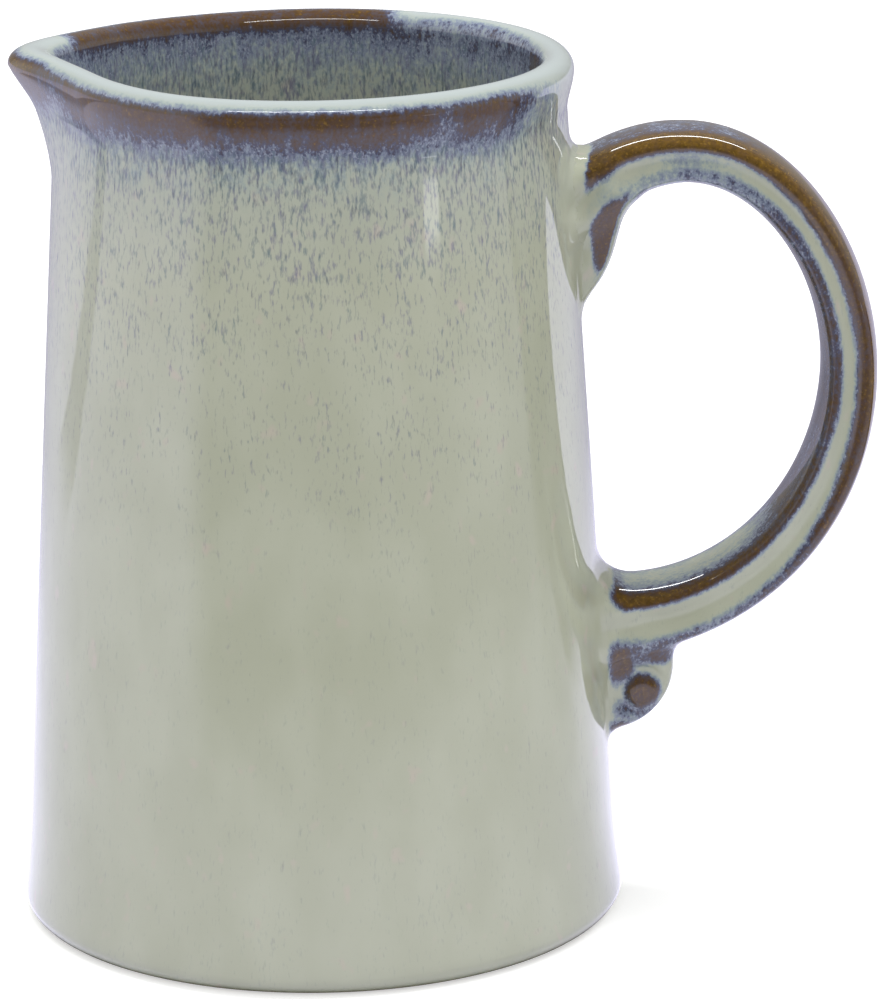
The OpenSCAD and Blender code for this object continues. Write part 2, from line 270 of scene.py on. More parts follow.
class JugShape:
    """Plain numbers and curves worked out from the sizes in the panel"""

    def __init__(self, scene):
        b = self.body = scene.jug_body
        h = self.handle = scene.jug_handle
        self.height = b.height
        self.neck_z = b.height - b.lip_h
        self.lip_r = b.lip_t / 2
        self.lip_mid_r = b.neck_r + b.lip_bulge - self.lip_r
        self.lip_mid_z = b.height - self.lip_r
        self.flare_z = b.height - b.spout_h
        self.low_r = b.base_r - b.foot_swell
        self.low_z = b.foot_round
        self.slope = (b.neck_r - self.low_r) / (self.neck_z - self.low_z)
        self.lean = 1 / hypot(1, self.slope)
        self.bulge = b.lip_bulge
        self.wall_t = b.wall_t
        self.swell = b.foot_swell
        self.swell_h = b.swell_h
        self.root_z = b.height - h.root_drop
        self.spur_z = self.root_z - h.spur_len
        self.scroll_z = h.tail_z - h.scroll_drop
        self.scroll_x = self.side_r(self.scroll_z)
        self.groove_half = SIDE_SHARE * h.strap_w - h.groove_d
        self.set_strap_curves(h)
        self.set_spur_curve(h)

    def side_r(self, z):
        """Radius of the straight outer side at a height"""
        return self.low_r + self.slope * (z - self.low_z)

    def lip_share(self, z):
        """0 at the neck, 1 at the middle of the lip"""
        return ramp(z, self.neck_z, self.lip_mid_z)

    def outer_r(self, z):
        """Radius of the outside at a height, with the swell of the foot and the lip"""
        r = self.side_r(min(z, self.neck_z)) + self.bulge * self.lip_share(z)
        if z < self.swell_h:
            r += self.swell * ((self.swell_h - z) / (self.swell_h - self.low_z)) ** 2
        return r

    def inner_r(self, z):
        """Radius of the inside at a height, up to the middle of the lip"""
        side = self.side_r(min(z, self.neck_z)) - self.wall_t
        return mix(side, self.lip_mid_r - self.lip_r, self.lip_share(z))

    def wall_gap(self, point):
        """Distance of a point from the straight outer side, below zero inside it"""
        return (hypot(point.x, point.y) - self.side_r(point.z)) * self.lean

    def run_from_top(self, point):
        """Way from the top of the lip along the surface, above zero outside and below zero inside"""
        r, rise = hypot(point.x, point.y), point.z - self.lip_mid_z
        if rise > 0:
            return self.lip_r * (pi / 2 - atan2(rise, r - self.lip_mid_r))
        side = 1 if r > (self.outer_r(point.z) + self.inner_r(point.z)) / 2 else -1
        return side * (self.lip_r * pi / 2 - rise)

    def upper_reach(self, z):
        """Reach of the upper slip, tight under the spur and wide beside the strap"""
        h = self.handle
        return mix(h.side_fillet, h.upper_fillet, ramp(z, self.spur_z, self.spur_z + h.spur_len * TIGHT_PART))

    def lower_reach(self, z):
        """Reach of the lower slip, tight under the scroll and wide above the strap"""
        h = self.handle
        return mix(h.side_fillet, h.lower_fillet, ramp(z, self.scroll_z - h.eye_out, h.tail_z))

    def near_joint(self, point, zone):
        """Whether a point lies outside the wall and near a root of the handle"""
        if point.x < 0 or abs(point.y) > JOINT_HALF or not zone[0] < point.z < zone[1]:
            return False
        return self.wall_gap(point) > -WALL_SKIN

    def set_strap_curves(self, h):
        """Three curves of the strap's middle: root to crest, crest to belly, belly to tail"""
        root_way = Vector((cos(h.root_angle), 0, sin(h.root_angle)))
        tail_way = Vector((cos(h.tail_angle), 0, sin(h.tail_angle)))
        across = Vector((1, 0, 0))
        up = Vector((0, 0, 1))
        crest_z = self.height - h.crest_drop
        root = Vector((self.side_r(self.root_z), 0, self.root_z)) - ROOT_SUNK * root_way
        crest = Vector((self.side_r(crest_z) + h.crest_out, 0, crest_z))
        belly = Vector((self.side_r(h.belly_z) + h.belly_out, 0, h.belly_z))
        tail = Vector((self.side_r(h.tail_z), 0, h.tail_z)) - TAIL_SUNK * tail_way
        rise = RISE_PULL * h.crest_out * root_way
        before_crest = CREST_PULL * h.crest_out * across
        past_crest = TOP_PULL * (belly.x - crest.x) * across
        above_belly = TOP_PULL * (crest_z - belly.z) * up
        below_belly = BELLY_PULL * (belly.z - h.tail_z) * up
        before_tail = TAIL_PULL * h.belly_out * tail_way
        self.strap_curves = [
            (root, root + rise, crest - before_crest, crest),
            (crest, crest + past_crest, belly + above_belly, belly),
            (belly, belly - below_belly, tail + before_tail, tail),
        ]
        self.strap_depths = [(h.root_t, h.crest_t), (h.crest_t, h.belly_t), (h.belly_t, h.tail_t)]

    def set_spur_curve(self, h):
        """Curve of the spur's middle, from inside the strap down into the wall"""
        middle = h.spur_out - h.spur_t / 2
        at_root = self.side_r(self.root_z) + middle
        at_tip = self.side_r(self.spur_z)
        self.spur_curve = (
            Vector((at_root + SPUR_TOP_OUT, 0, self.root_z + SPUR_TOP_UP)),
            Vector((at_root + SPUR_NECK_OUT, 0, self.root_z - SPUR_NECK_PULL * h.spur_len)),
            Vector((at_tip + middle + SPUR_CHIN_OUT, 0, self.spur_z + SPUR_CHIN_PULL * h.spur_len)),
            Vector((at_tip - SPUR_TIP_SUNK, 0, self.spur_z)),
        )


def ring_share(place, around):
    """How far out a point lies on its ring: 1 on the outer ridge, -1 on the inner"""
    out = cos(2 * pi * place / around)
    return copysign(abs(out) ** CROWDING, out)


def section(middle, way, depth, width, groove, around):
    """One ring of a strap: rounded outside and inside, with a groove along each side"""
    out = Vector((-way.z, 0, way.x))
    ring = []
    for j in range(around):
        x = ring_share(j, around)
        half = SIDE_SHARE * width * sqrt(max(0, 1 - x ** SQUARENESS)) - groove * bell(x, 0, GROOVE_SPREAD)
        side = 0 if j % (around // 2) == 0 else copysign(1, around / 2 - j)
        ring.append(middle + out * (x * depth / 2) + Vector((0, half * side, 0)))
    return ring


# Modelling

# Points nearer than this are one point, and a ray goes on this far past what it meets
TINY = 0.002 * MM
# Slanted way for counting the walls on one side of a point, along no edge of the pieces
RAY_WAY = Vector((0.13, 0.98, 0.17)).normalized()
# How deep inside the wall the handle's pieces are cut, and how far their ends run on before that
WALL_CUT = 1.8 * MM
END_RUN = 14 * MM
# Flow of the slip: how far as a share of its reach, how close to the common skin, in how many tries at most
FLOW_LIMIT = 0.45
FLOW_CLOSE = 0.003 * MM
FLOW_TRIES = 12
# How far a skin is sunk under another that lies on top
SKIN_SINK = 0.12 * MM


def start(kind, name, **settings):
    """Add a primitive on its own, named and in edit mode"""
    bpy.ops.object.select_all(action="DESELECT")
    kind(**settings)
    piece = bpy.context.object
    piece.name = name
    piece.data.name = name
    bpy.ops.object.mode_set(mode="EDIT")
    return piece


def done(piece):
    """Merge doubled points, turn the faces outward, shade smooth and leave edit mode"""
    bpy.ops.mesh.select_all(action="SELECT")
    bpy.ops.mesh.remove_doubles(threshold=TINY)
    bpy.ops.mesh.normals_make_consistent(inside=False)
    bpy.ops.object.mode_set(mode="OBJECT")
    bpy.ops.object.shade_smooth()
    return piece


def close(piece):
    """Close the open ends of a tube"""
    bpy.ops.mesh.select_all(action="SELECT")
    bpy.ops.mesh.fill_holes(sides=0)
    return done(piece)


def draw_line(points):
    """Draw a line of points from a plane merged to one point, by extruding it step by step"""
    bpy.ops.mesh.merge(type="CENTER")
    here = Vector((0, 0, 0))
    for i, point in enumerate(points):
        move = point - here
        if i == 0:
            bpy.ops.transform.translate(value=move)
        else:
            bpy.ops.mesh.extrude_vertices_move(TRANSFORM_OT_translate={"value": move})
        here = point


def loft(name, rings, marks):
    """Extrude a circle ring by ring, and keep each point's place on its ring and its mark along the way"""
    piece = start(bpy.ops.mesh.primitive_circle_add, name, vertices=len(rings[0]), radius=MM)
    bm = bmesh.from_edit_mesh(piece.data)
    place = bm.verts.layers.int.new("place")
    along = bm.verts.layers.float.new("along")
    for j, vert in enumerate(bm.verts):
        vert[place] = j
    for i, ring in enumerate(rings):
        if i > 0:
            bpy.ops.mesh.extrude_edges_move()
            bm = bmesh.from_edit_mesh(piece.data)
            place = bm.verts.layers.int["place"]
            along = bm.verts.layers.float["along"]
        for vert in bm.verts:
            if vert.select:
                vert.co = ring[vert[place]]
                vert[along] = marks[i]
        bmesh.update_edit_mesh(piece.data)
    return piece


def edit(piece):
    """Take a piece alone into edit mode, with all of it selected"""
    bpy.ops.object.select_all(action="DESELECT")
    piece.select_set(True)
    bpy.context.view_layer.objects.active = piece
    bpy.ops.object.mode_set(mode="EDIT")
    bpy.ops.mesh.select_all(action="SELECT")


def cut_at_wall(shape, piece):
    """Cut away what lies deep inside the wall and close the cut"""
    edit(piece)
    outward = Vector((1, 0, -shape.slope)).normalized()
    point = Vector((shape.side_r(0), 0, 0)) - outward * WALL_CUT
    bpy.ops.mesh.bisect(plane_co=point, plane_no=outward, use_fill=True, clear_inner=True)
    done(piece)


def smooth_min(a, b, reach):
    """Distance to the soft union of two solids"""
    share = max(reach - abs(a - b), 0) / reach
    return min(a, b) - share * share * reach / 4


def gap_to(piece):
    """Distance of a point from a closed piece, below zero inside it"""
    tree = BVHTree.FromObject(piece, bpy.context.evaluated_depsgraph_get())

    def gap(point):
        distance = tree.find_nearest(point)[3]
        inside = False
        hit = tree.ray_cast(point, RAY_WAY)[0]
        while hit is not None:
            inside = not inside
            hit = tree.ray_cast(hit + RAY_WAY * TINY, RAY_WAY)[0]
        return -distance if inside else distance
    return gap


def joint_gap(shape, strap_gap, end_gap, reach, end_reach):
    """Distance of a point from the soft union of the wall, the strap and the piece at its end"""
    def gap(point):
        handle = smooth_min(strap_gap(point), end_gap(point), end_reach)
        return smooth_min(shape.wall_gap(point), handle, reach(point.z))
    return gap


def flow_out(shape, piece, zone, gap, reach, others):
    """Move points out along their normals onto a soft union, as wiped slip would lie

    A point that ends nearer to another piece than to its own is sunk a little, so one skin lies on top.
    """
    moved = []
    for vert in piece.data.vertices:
        if not shape.near_joint(vert.co, zone):
            continue
        limit = FLOW_LIMIT * reach(vert.co.z)
        rise, depth = 0, gap(vert.co)
        for _ in range(FLOW_TRIES):
            if depth > -FLOW_CLOSE or rise >= limit:
                break
            rise = min(limit, rise - depth)
            depth = gap(vert.co + vert.normal * rise)
        if rise > 0:
            nearest = min(other(vert.co + vert.normal * rise) for other in others)
            rise -= min(SKIN_SINK, max(0, rise - nearest))
            moved.append((vert, vert.co + vert.normal * rise))
    for vert, place in moved:
        vert.co = place
    piece.data.update()


def paint(piece, **marks):
    """Store numbers for every point of a piece, for its glaze to read"""
    for name, values in marks.items():
        layer = piece.data.attributes.new(name, "FLOAT", "POINT")
        layer.data.foreach_set("value", values)


def marked(piece, name):
    """Numbers stored for every point of a piece"""
    return [item.value for item in piece.data.attributes[name].data]


def hand_over(piece, slot, *nodes):
    """Say which body and solids a piece stands for; the finish that it is given is not used"""
    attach(piece, "root")
    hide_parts(*nodes)


# Body

# Spacing of the points along the half section, close around the joints and on the bends
FINE = 0.5 * MM
COARSE = 2 * MM
FLAT_STEP = 4 * MM
RECESS_STEP = 0.2
RING_STEP = 1.2 * MM
FOOT_STEP = 1 * MM
THROAT_STEP = 0.7 * MM
INSIDE_STEP = 2.5 * MM
FOOT_BEND_STEP = radians(10)
LIP_BEND_STEP = radians(9)
FLOOR_BEND_STEP = radians(7.5)
# Heights between which the lower and the upper joint lie
JOINT_ZONES = ((17 * MM, 52 * MM), (74 * MM, 103 * MM))
# Turns of the spin and their steps in degrees, fine at the handle and at the spout
TURNS = ((24, 0.5), (122, 2.4), (68, 1.1), (122, 2.4), (24, 0.5))
# Curves of the spout: how late it flares as it rises, and how close to its tip the rim rises
FLARE_POWER = 1.5
RISE_POWER = 4


def side_heights(shape):
    """Heights of the rings on the outer side, close together around the joints"""
    low, high = JOINT_ZONES
    heights = spaced(shape.swell_h, low[0], FOOT_STEP) + spaced(*low, FINE)
    heights += spaced(low[1], high[0], COARSE) + spaced(high[0], shape.neck_z, FINE)
    return heights + spaced(shape.neck_z, shape.lip_mid_z, FINE)


def body_profile(shape):
    """Radius and height along the body's half section, from the middle underneath to that of the floor"""
    b = shape.body
    ring_out = b.base_r - b.foot_round
    ring_in = ring_out - b.foot_ring_w
    recess = b.foot_recess
    floor_z = recess + b.floor_t
    corner_z = floor_z + b.floor_round
    corner_r = shape.inner_r(corner_z) - b.floor_round
    line = [(r, recess) for r in spaced(0, ring_in - recess, FLAT_STEP)]
    line += [(ring_in - recess * (1 - t), recess * (1 - ease(t))) for t in spaced(0, 1, RECESS_STEP)]
    line += [(r, 0) for r in spaced(ring_in, ring_out, RING_STEP)]
    for a in spaced(-pi / 2, 0, FOOT_BEND_STEP):
        line.append((ring_out + b.foot_round * cos(a), b.foot_round + b.foot_round * sin(a)))
    line += [(shape.outer_r(z), z) for z in spaced(b.foot_round, shape.swell_h, FOOT_STEP)]
    line += [(shape.outer_r(z), z) for z in side_heights(shape)]
    for a in spaced(0, pi, LIP_BEND_STEP):
        line.append((shape.lip_mid_r + shape.lip_r * cos(a), shape.lip_mid_z + shape.lip_r * sin(a)))
    line += [(shape.inner_r(z), z) for z in spaced(shape.lip_mid_z, shape.flare_z, THROAT_STEP)]
    line += [(shape.inner_r(z), z) for z in spaced(shape.flare_z, corner_z, INSIDE_STEP)]
    for a in spaced(0, -pi / 2, FLOOR_BEND_STEP):
        line.append((corner_r + b.floor_round * cos(a), corner_z + b.floor_round * sin(a)))
    line += [(r, floor_z) for r in spaced(corner_r, 0, FLAT_STEP)] + [(0, floor_z)]
    return line


def pull_spout(shape, piece):
    """Draw the rim out into the spout, most at its tip"""
    b = shape.body
    half, tip = b.spout_half, b.spout_tip
    most = 1 / cos(half - tip) - 1
    for vert in piece.data.vertices:
        x, y, z = vert.co
        if z <= shape.flare_z or x >= 0:
            continue
        away = atan2(y, -x)
        r = hypot(x, y)
        flare = min(1, (z - shape.flare_z) / (shape.lip_mid_z - shape.flare_z)) ** FLARE_POWER
        inner = shape.inner_r(min(z, shape.lip_mid_z))
        outer = shape.outer_r(min(z, shape.lip_mid_z))
        share = min(1, max(0, (r - inner) / (outer - inner)))
        beak = (1 / cos(max(0, half - hypot(away, tip))) - 1) / most
        r += beak * flare * mix(b.spout_pull, b.spout_reach, share)
        rise = b.spout_rise * cos(away) ** RISE_POWER * flare
        vert.co = (-r * cos(away), r * sin(away), z + rise)


def model_body(shape):
    """Draw the half section, spin it round in coarse and fine turns, and pull the spout"""
    piece = start(bpy.ops.mesh.primitive_plane_add, "body_glazed", size=MM)
    draw_line([Vector((r, 0, z)) for r, z in body_profile(shape)])
    bpy.ops.mesh.select_all(action="SELECT")
    for turn, turn_step in TURNS:
        steps = round(turn / turn_step)
        bpy.ops.mesh.spin(steps=steps, angle=radians(turn), center=(0, 0, 0), axis=(0, 0, 1))
    done(piece)
    paint(piece, run=[shape.run_from_top(vert.co) for vert in piece.data.vertices])
    pull_spout(shape, piece)
    return piece


# Handle

# Points around the strap and the spur, rings along the strap's three curves and along the spur
STRAP_AROUND = 96
SPUR_AROUND = 64
STRAP_RINGS = (34, 60, 84)
SPUR_RINGS = 40
# Tilts in degrees of the rings that round the spur's top
SPUR_DOME = (82, 66, 48, 24)
# How late the strap's inner side swells before the lower root
SWELL_POWER = 8
# Spacing of the points on the scroll's flat sides, edges and rim, and the steps of its spin
SCROLL_FLAT_STEP = 0.35 * MM
SCROLL_BEND_STEP = radians(10)
SCROLL_RIM_STEP = 0.6 * MM
SCROLL_STEPS = 120
# Half the breadth of the ring pressed around the scroll's eye
EYE_SPREAD = 0.75 * MM


def model_strap(shape):
    """Extrude the grooved section along the loop of the handle, with its ends inside the wall"""
    h = shape.handle
    rings, marks = [], []
    for part, (curve, depths, count) in enumerate(zip(shape.strap_curves, shape.strap_depths, STRAP_RINGS)):
        last = part == len(STRAP_RINGS) - 1
        for i in range(count + last):
            t = i / count
            way = bezier_way(curve, t)
            swell = h.tail_swell * t ** SWELL_POWER if last else 0
            inward = Vector((way.z, 0, -way.x))
            middle = bezier(curve, t) + inward * swell / 2
            rings.append(section(middle, way, mix(*depths, t) + swell, h.strap_w, h.groove_d, STRAP_AROUND))
            marks.append(part + t)
    root_way = bezier_way(shape.strap_curves[0], 0)
    tail_way = bezier_way(shape.strap_curves[-1], 1)
    rings.insert(0, [point - root_way * END_RUN for point in rings[0]])
    rings.append([point + tail_way * END_RUN for point in rings[-1]])
    return close(loft("handle_strap_glazed", rings, [marks[0], *marks, marks[-1]]))


def model_spur(shape):
    """Extrude a tapering tongue from inside the strap down to the wall"""
    h = shape.handle
    curve = shape.spur_curve
    wide = 2 * (shape.groove_half + h.spur_swell)
    marks = [i / SPUR_RINGS for i in range(SPUR_RINGS + 1)]
    rings = []
    for t in marks:
        depth = mix(h.spur_t, SPUR_TIP_SHARE * h.spur_t, t)
        width = mix(wide, wide - h.spur_taper, t)
        rings.append(section(bezier(curve, t), bezier_way(curve, t), depth, width, 0, SPUR_AROUND))
    top, top_way = bezier(curve, 0), bezier_way(curve, 0)
    dome = []
    for tilt in SPUR_DOME:
        back = top - top_way * (h.spur_t / 2 * sin(radians(tilt)))
        dome.append([back + (point - top) * cos(radians(tilt)) for point in rings[0]])
    end = [point + bezier_way(curve, 1) * END_RUN for point in rings[-1]]
    return close(loft("handle_spur_glazed", [*dome, *rings, end], [0] * len(dome) + marks + [1]))


def model_scroll(shape):
    """Spin a rounded half section into a roll and press the ring around its eye"""
    h = shape.handle
    half = shape.groove_half - h.scroll_step
    flat = h.scroll_r - h.scroll_edge
    line = [(r, half) for r in spaced(0, flat, SCROLL_FLAT_STEP)]
    for a in spaced(pi / 2, 0, SCROLL_BEND_STEP):
        line.append((flat + h.scroll_edge * cos(a), half - h.scroll_edge + h.scroll_edge * sin(a)))
    line += [(h.scroll_r, y) for y in spaced(half - h.scroll_edge, 0, SCROLL_RIM_STEP)]
    line += [(h.scroll_r, 0)] + [(r, -y) for r, y in reversed(line)]
    piece = start(bpy.ops.mesh.primitive_plane_add, "handle_scroll_glazed", size=MM)
    draw_line([Vector((shape.scroll_x + r, y, shape.scroll_z)) for r, y in line])
    bpy.ops.mesh.select_all(action="SELECT")
    middle = (shape.scroll_x, 0, shape.scroll_z)
    bpy.ops.mesh.spin(steps=SCROLL_STEPS, angle=2 * pi, center=middle, axis=(0, 1, 0))
    done(piece)
    press_eye(shape, piece)
    return piece


def eye_gap(shape, point):
    """Distance of a point from the middle of the scroll's eye, seen from the side"""
    h = shape.handle
    return hypot(point.x - shape.scroll_x - h.eye_out, point.z - shape.scroll_z + h.eye_drop)


def press_eye(shape, piece):
    """Press the ring groove around the eye into both sides of the scroll"""
    h = shape.handle
    for vert in piece.data.vertices:
        flatness = vert.normal.y ** 2
        depth = h.eye_d * bell(eye_gap(shape, vert.co), h.eye_r, EYE_SPREAD) * flatness
        vert.co.y -= copysign(depth, vert.co.y)
    piece.data.update()


# Glaze

# Thinness of the glaze by the way from the top of the lip in millimetres: outside, inside and on the far
# inside
RIM_OUTSIDE = (
    (0.5, 0), (1.3, 0.06), (2.1, 0.34), (2.9, 0.78), (3.9, 0.82), (4.7, 0.72), (6, 0.64), (7, 0.53),
    (8.2, 0.36), (9.6, 0.18), (14, 0.08), (24, 0),
)
RIM_INSIDE = ((0.6, 0), (1.4, 0.05), (2.6, 0.44), (5, 0.48), (8, 0.32), (13, 0.12), (40, 0.04))
FAR_INSIDE = (
    (-0.8, 0), (0.4, 0.76), (2.8, 0.78), (3.8, 0.52), (5.2, 0.38), (8, 0.24), (13, 0.12), (40, 0.04),
)
# Share of the outside band that is left, by the turn from the handle in degrees: it fades toward the handle.
# Past the full band at the spout's tip the glaze turns amber: partly the iron's own brown, partly a painted
# reflection of the bright room to the left
RIM_ENDS = (
    (13, 0), (22, 0.28), (31, 0.5), (38, 0.68), (43, 1), (52, 1), (59, 0.8), (66, 1), (150, 1), (161, 0.78),
    (170, 1.14),
)
# Turns in degrees between which the outside band climbs toward the spout, and how far in millimetres
CLIMB_TURNS = (148, 165)
CLIMB = 0.7
# Turns in degrees over which the band of the far inside begins, and over which it ends
FAR_BEGINS = (64, 74)
FAR_ENDS = (163, 172)
# How far the violet of the inside creeps over the lip in millimetres, and the middle and spread of that
# in degrees
CREEP = 1.1
CREEP_TURNS = (42, 24)
# Brown patch inside the lip by the way from its top, and the middle and spread of the patch in degrees
HANDLE_PATCH = ((2, 0), (3, 0.8), (5, 0.8), (7, 0.2))
PATCH_TURNS = (8, 14)
# Thickness of the flecks and of the blue-white bloom by the way from the top of the lip in millimetres
FLECKS_OUTSIDE = (
    (3, 0), (6, 0.4), (7.5, 0.9), (9.5, 0.75), (12, 0.6), (18, 0.48), (24, 0.4), (40, 0.22), (60, 0.1),
)
FLECKS_INSIDE = ((2, 0), (4, 0.75), (10, 0.7), (40, 0.35))
BLOOM = ((0, 1), (2, 0.9), (5, 0.3), (8, 0.4), (14, 0.22), (24, 0))
# Distances from the handle in millimetres between which the flecks come back on the body
FLECK_CLEAR = (1.5, 6)
# Flecks and bloom all over the handle
HANDLE_FLECK = 0.1
HANDLE_BLOOM = 0.05
# Heights in millimetres between which the bare clay of the foot ring ends
CLAY_EDGE = (0.1, 0.5)


def rim_iron(run, turn):
    """How thin the glaze runs at the rim: 0 thick and pale, 1 broken to iron brown"""
    climb = CLIMB * ramp(abs(turn), *CLIMB_TURNS)
    outside = level(run / MM + climb, RIM_OUTSIDE) * level(abs(turn), RIM_ENDS)
    creep = CREEP * bell(turn, *CREEP_TURNS)
    far = ramp(turn, *FAR_BEGINS) * (1 - ramp(turn, *FAR_ENDS))
    inside = mix(level(creep - run / MM, RIM_INSIDE), level(-run / MM, FAR_INSIDE), far)
    patch = bell(turn, *PATCH_TURNS) * level(-run / MM, HANDLE_PATCH)
    return max(outside, inside, patch)


def body_iron(piece, runs):
    """Thin glaze on the body, by each point's way from the top of the lip and turn from the handle"""
    turns = [degrees(atan2(vert.co.y, vert.co.x)) for vert in piece.data.vertices]
    return [rim_iron(run, turn) for run, turn in zip(runs, turns)]


def fleck_share(run):
    """How thick the flecks stand: dense under the rim, few low on the body, none on the lip"""
    return max(level(run / MM, FLECKS_OUTSIDE), level(-run / MM, FLECKS_INSIDE))


# How far the pale slip reaches off the wall around the joints, by height, and how its edge fades, in
# millimetres
SLIP_EDGE = ((24, 0.5), (30, 0.8), (34, 1.2), (38, 1.9), (92, 1.9), (99, 2.6))
SLIP_FADE = 0.4
# How far over the seam between two pieces their glazes blend, and how far the slip stands off the bare wall
SIDE_FADE = 1.1 * MM
SLIP_STANDS = 0.2 * MM
# Spots on the sides of the handle: thinness, then in millimetres place across and up, half width and half
# height; and the shares of the half sizes over which a spot ends
TAIL_SPOTS = ((0.84, 38.1, 32.3, 2.1, 3.4), (0.74, 42.9, 33.2, 2.4, 1.5), (0.5, 41, 33.6, 5, 2.2))
SCROLL_SPOT = (0.5, 40.4, 25.8, 3.6, 2)
SPOT_FADE = (0.4, 1.35)
# Brown side of the spur: its thinness, then in millimetres where it begins off the wall, ends outward and
# begins upward, its top, the place from which the top drops toward the wall, over which way and how far,
# and how the top fades
LOBE_THIN = 0.84
LOBE_OFF_WALL = (1.2, 3)
LOBE_OUT = (37.8, 39.4)
LOBE_LOW = (81.6, 83.8)
LOBE_TOP = 92.8
LOBE_CORNER = 38.4
LOBE_CORNER_W = 3.9
LOBE_CORNER_H = 3.4
LOBE_FADE = (-1.2, 1)


def off_wall(shape, point):
    """0 on the pale slip around a joint, 1 clear of it"""
    edge = level(point.z / MM, SLIP_EDGE)
    return ramp(shape.wall_gap(point) / MM, edge - SLIP_FADE, edge + SLIP_FADE)


def spot(point, thin, x, z, half_x, half_z):
    """Thin glaze in an oval spot on the sides of the handle, 0 outside it"""
    away = hypot((point.x / MM - x) / half_x, (point.z / MM - z) / half_z)
    return thin * (1 - ramp(away, *SPOT_FADE))


def tail_spots(point):
    """Brown spots low on the strap beside the scroll"""
    return max(spot(point, *sizes) for sizes in TAIL_SPOTS)


def lobe(shape, point):
    """Thin glaze on the brown side of the spur and of the strap's root just above it, 0 outside"""
    off, x, z = shape.wall_gap(point) / MM, point.x / MM, point.z / MM
    top = LOBE_TOP - LOBE_CORNER_H * (max(0, LOBE_CORNER - x) / LOBE_CORNER_W) ** 2
    side = ramp(off, *LOBE_OFF_WALL) * (1 - ramp(x, *LOBE_OUT))
    low, high = LOBE_FADE
    return LOBE_THIN * side * ramp(z, *LOBE_LOW) * (1 - ramp(z, top + low, top + high))


# Thinness on the strap's inner and outer ridges by the mark along it: 1 at the crest, 2 at the belly, 3
# at the tail
STRAP_INNER = (
    (0.3, 0.12), (0.75, 0.36), (1.1, 0.42), (1.5, 0.58), (2, 0.68), (2.35, 0.7), (2.6, 0.78), (2.8, 0.92),
    (3, 1),
)
STRAP_OUTER = ((1.4, 0.93), (1.8, 0.84), (2.3, 0.82), (2.65, 0.54))
# Where the outer ridge's brown ends on the strap's sides, as a share of half its thickness by the same
# mark, and how that edge fades
STRAP_EDGE = ((0.1, 0.08), (0.55, 0.4), (1.2, 0.4), (1.6, 0.2), (2.2, 0.2), (2.7, 0.5))
EDGE_FADE = (-0.24, 0.14)
# Frosty top of the strap: its thinness, the shares over which it begins and the marks over which it ends
FROSTY = 0.58
FROSTY_SHARES = (0.92, 0.985)
FROSTY_ENDS = (1.1, 1.4)
# Shares over which the inner ridge's brown begins, how far they shift between two marks, and at the lower
# root, which begins between two marks and ends between two distances off the wall in millimetres
RIDGE_SHARES = (0.06, 0.38)
RIDGE_SHIFTS = ((0.11, 1.2, 2), (0.15, 2, 2.3))
ROOT_SHIFT = 0.2
ROOT_MARKS = (2.5, 2.7)
ROOT_GAPS = (1.6, 4)
# Paler inner face of the strap: its thinness at the crest and at the belly, the marks over which it
# changes, begins and ends, the shares over which it begins, how much they follow the ridge's shift and
# how much they widen low down
FACE = (0.5, 0.65)
FACE_CHANGES = (1.2, 1.8)
FACE_BEGINS = (0.25, 0.6)
FACE_ENDS = (2.38, 2.6)
FACE_SHARES = (0.66, 0.84)
FACE_FOLLOWS = 0.4
FACE_WIDENS = 0.14
FACE_WIDE_MARKS = (2.2, 2.4)
# Bluish cast in the groove near the crest: its thinness, and its middle and spread by mark and by share
VALLEY = 0.28
VALLEY_MARKS = (0.95, 0.3)
VALLEY_SHARES = (0, 0.4)


def strap_face(along):
    """How thin the glaze is on the inner face of the strap"""
    thin = mix(*FACE, ramp(along, *FACE_CHANGES))
    return thin * ramp(along, *FACE_BEGINS) * (1 - ramp(along, *FACE_ENDS))


def strap_iron(shape, share, along, point):
    """Thin glaze along the outer and inner ridges of the strap, thick glaze in its grooves"""
    edge = level(along, STRAP_EDGE)
    outer = ramp(share, edge + EDGE_FADE[0], edge + EDGE_FADE[1]) * level(along, STRAP_OUTER)
    outer = mix(outer, FROSTY, ramp(share, *FROSTY_SHARES) * (1 - ramp(along, *FROSTY_ENDS)))
    near_root = (1 - ramp(shape.wall_gap(point) / MM, *ROOT_GAPS)) * ramp(along, *ROOT_MARKS)
    shift = sum(amount * ramp(along, begin, end) for amount, begin, end in RIDGE_SHIFTS)
    shift += ROOT_SHIFT * near_root
    ridge = level(along, STRAP_INNER) * ramp(-share, RIDGE_SHARES[0] + shift, RIDGE_SHARES[1] + shift)
    begin, end = (value + FACE_FOLLOWS * shift for value in FACE_SHARES)
    end += FACE_WIDENS * ramp(along, *FACE_WIDE_MARKS)
    inner = mix(ridge, strap_face(along), ramp(-share, begin, end))
    valley = VALLEY * bell(along, *VALLEY_MARKS) * bell(share, *VALLEY_SHARES)
    return max(outer, inner, valley, tail_spots(point), lobe(shape, point))


# Spur: the shares over which its brown side ends, the thinness of its dark corner with its middle and
# spread by share and the marks over which it ends, and the thinness of its pale front
SPUR_SIDE_ENDS = (0.42, 0.6)
SPUR_CORNER = 0.9
SPUR_CORNER_SHARES = (0.48, 0.1)
SPUR_CORNER_ENDS = (0.64, 0.78)
SPUR_FRONT = 0.16


def spur_iron(shape, share, along, point):
    """Brown sides and a dark corner on the spur, with a pale front"""
    side = lobe(shape, point) * (1 - ramp(share, *SPUR_SIDE_ENDS))
    corner = SPUR_CORNER * bell(share, *SPUR_CORNER_SHARES) * (1 - ramp(along, *SPUR_CORNER_ENDS))
    return max(side, corner, SPUR_FRONT)


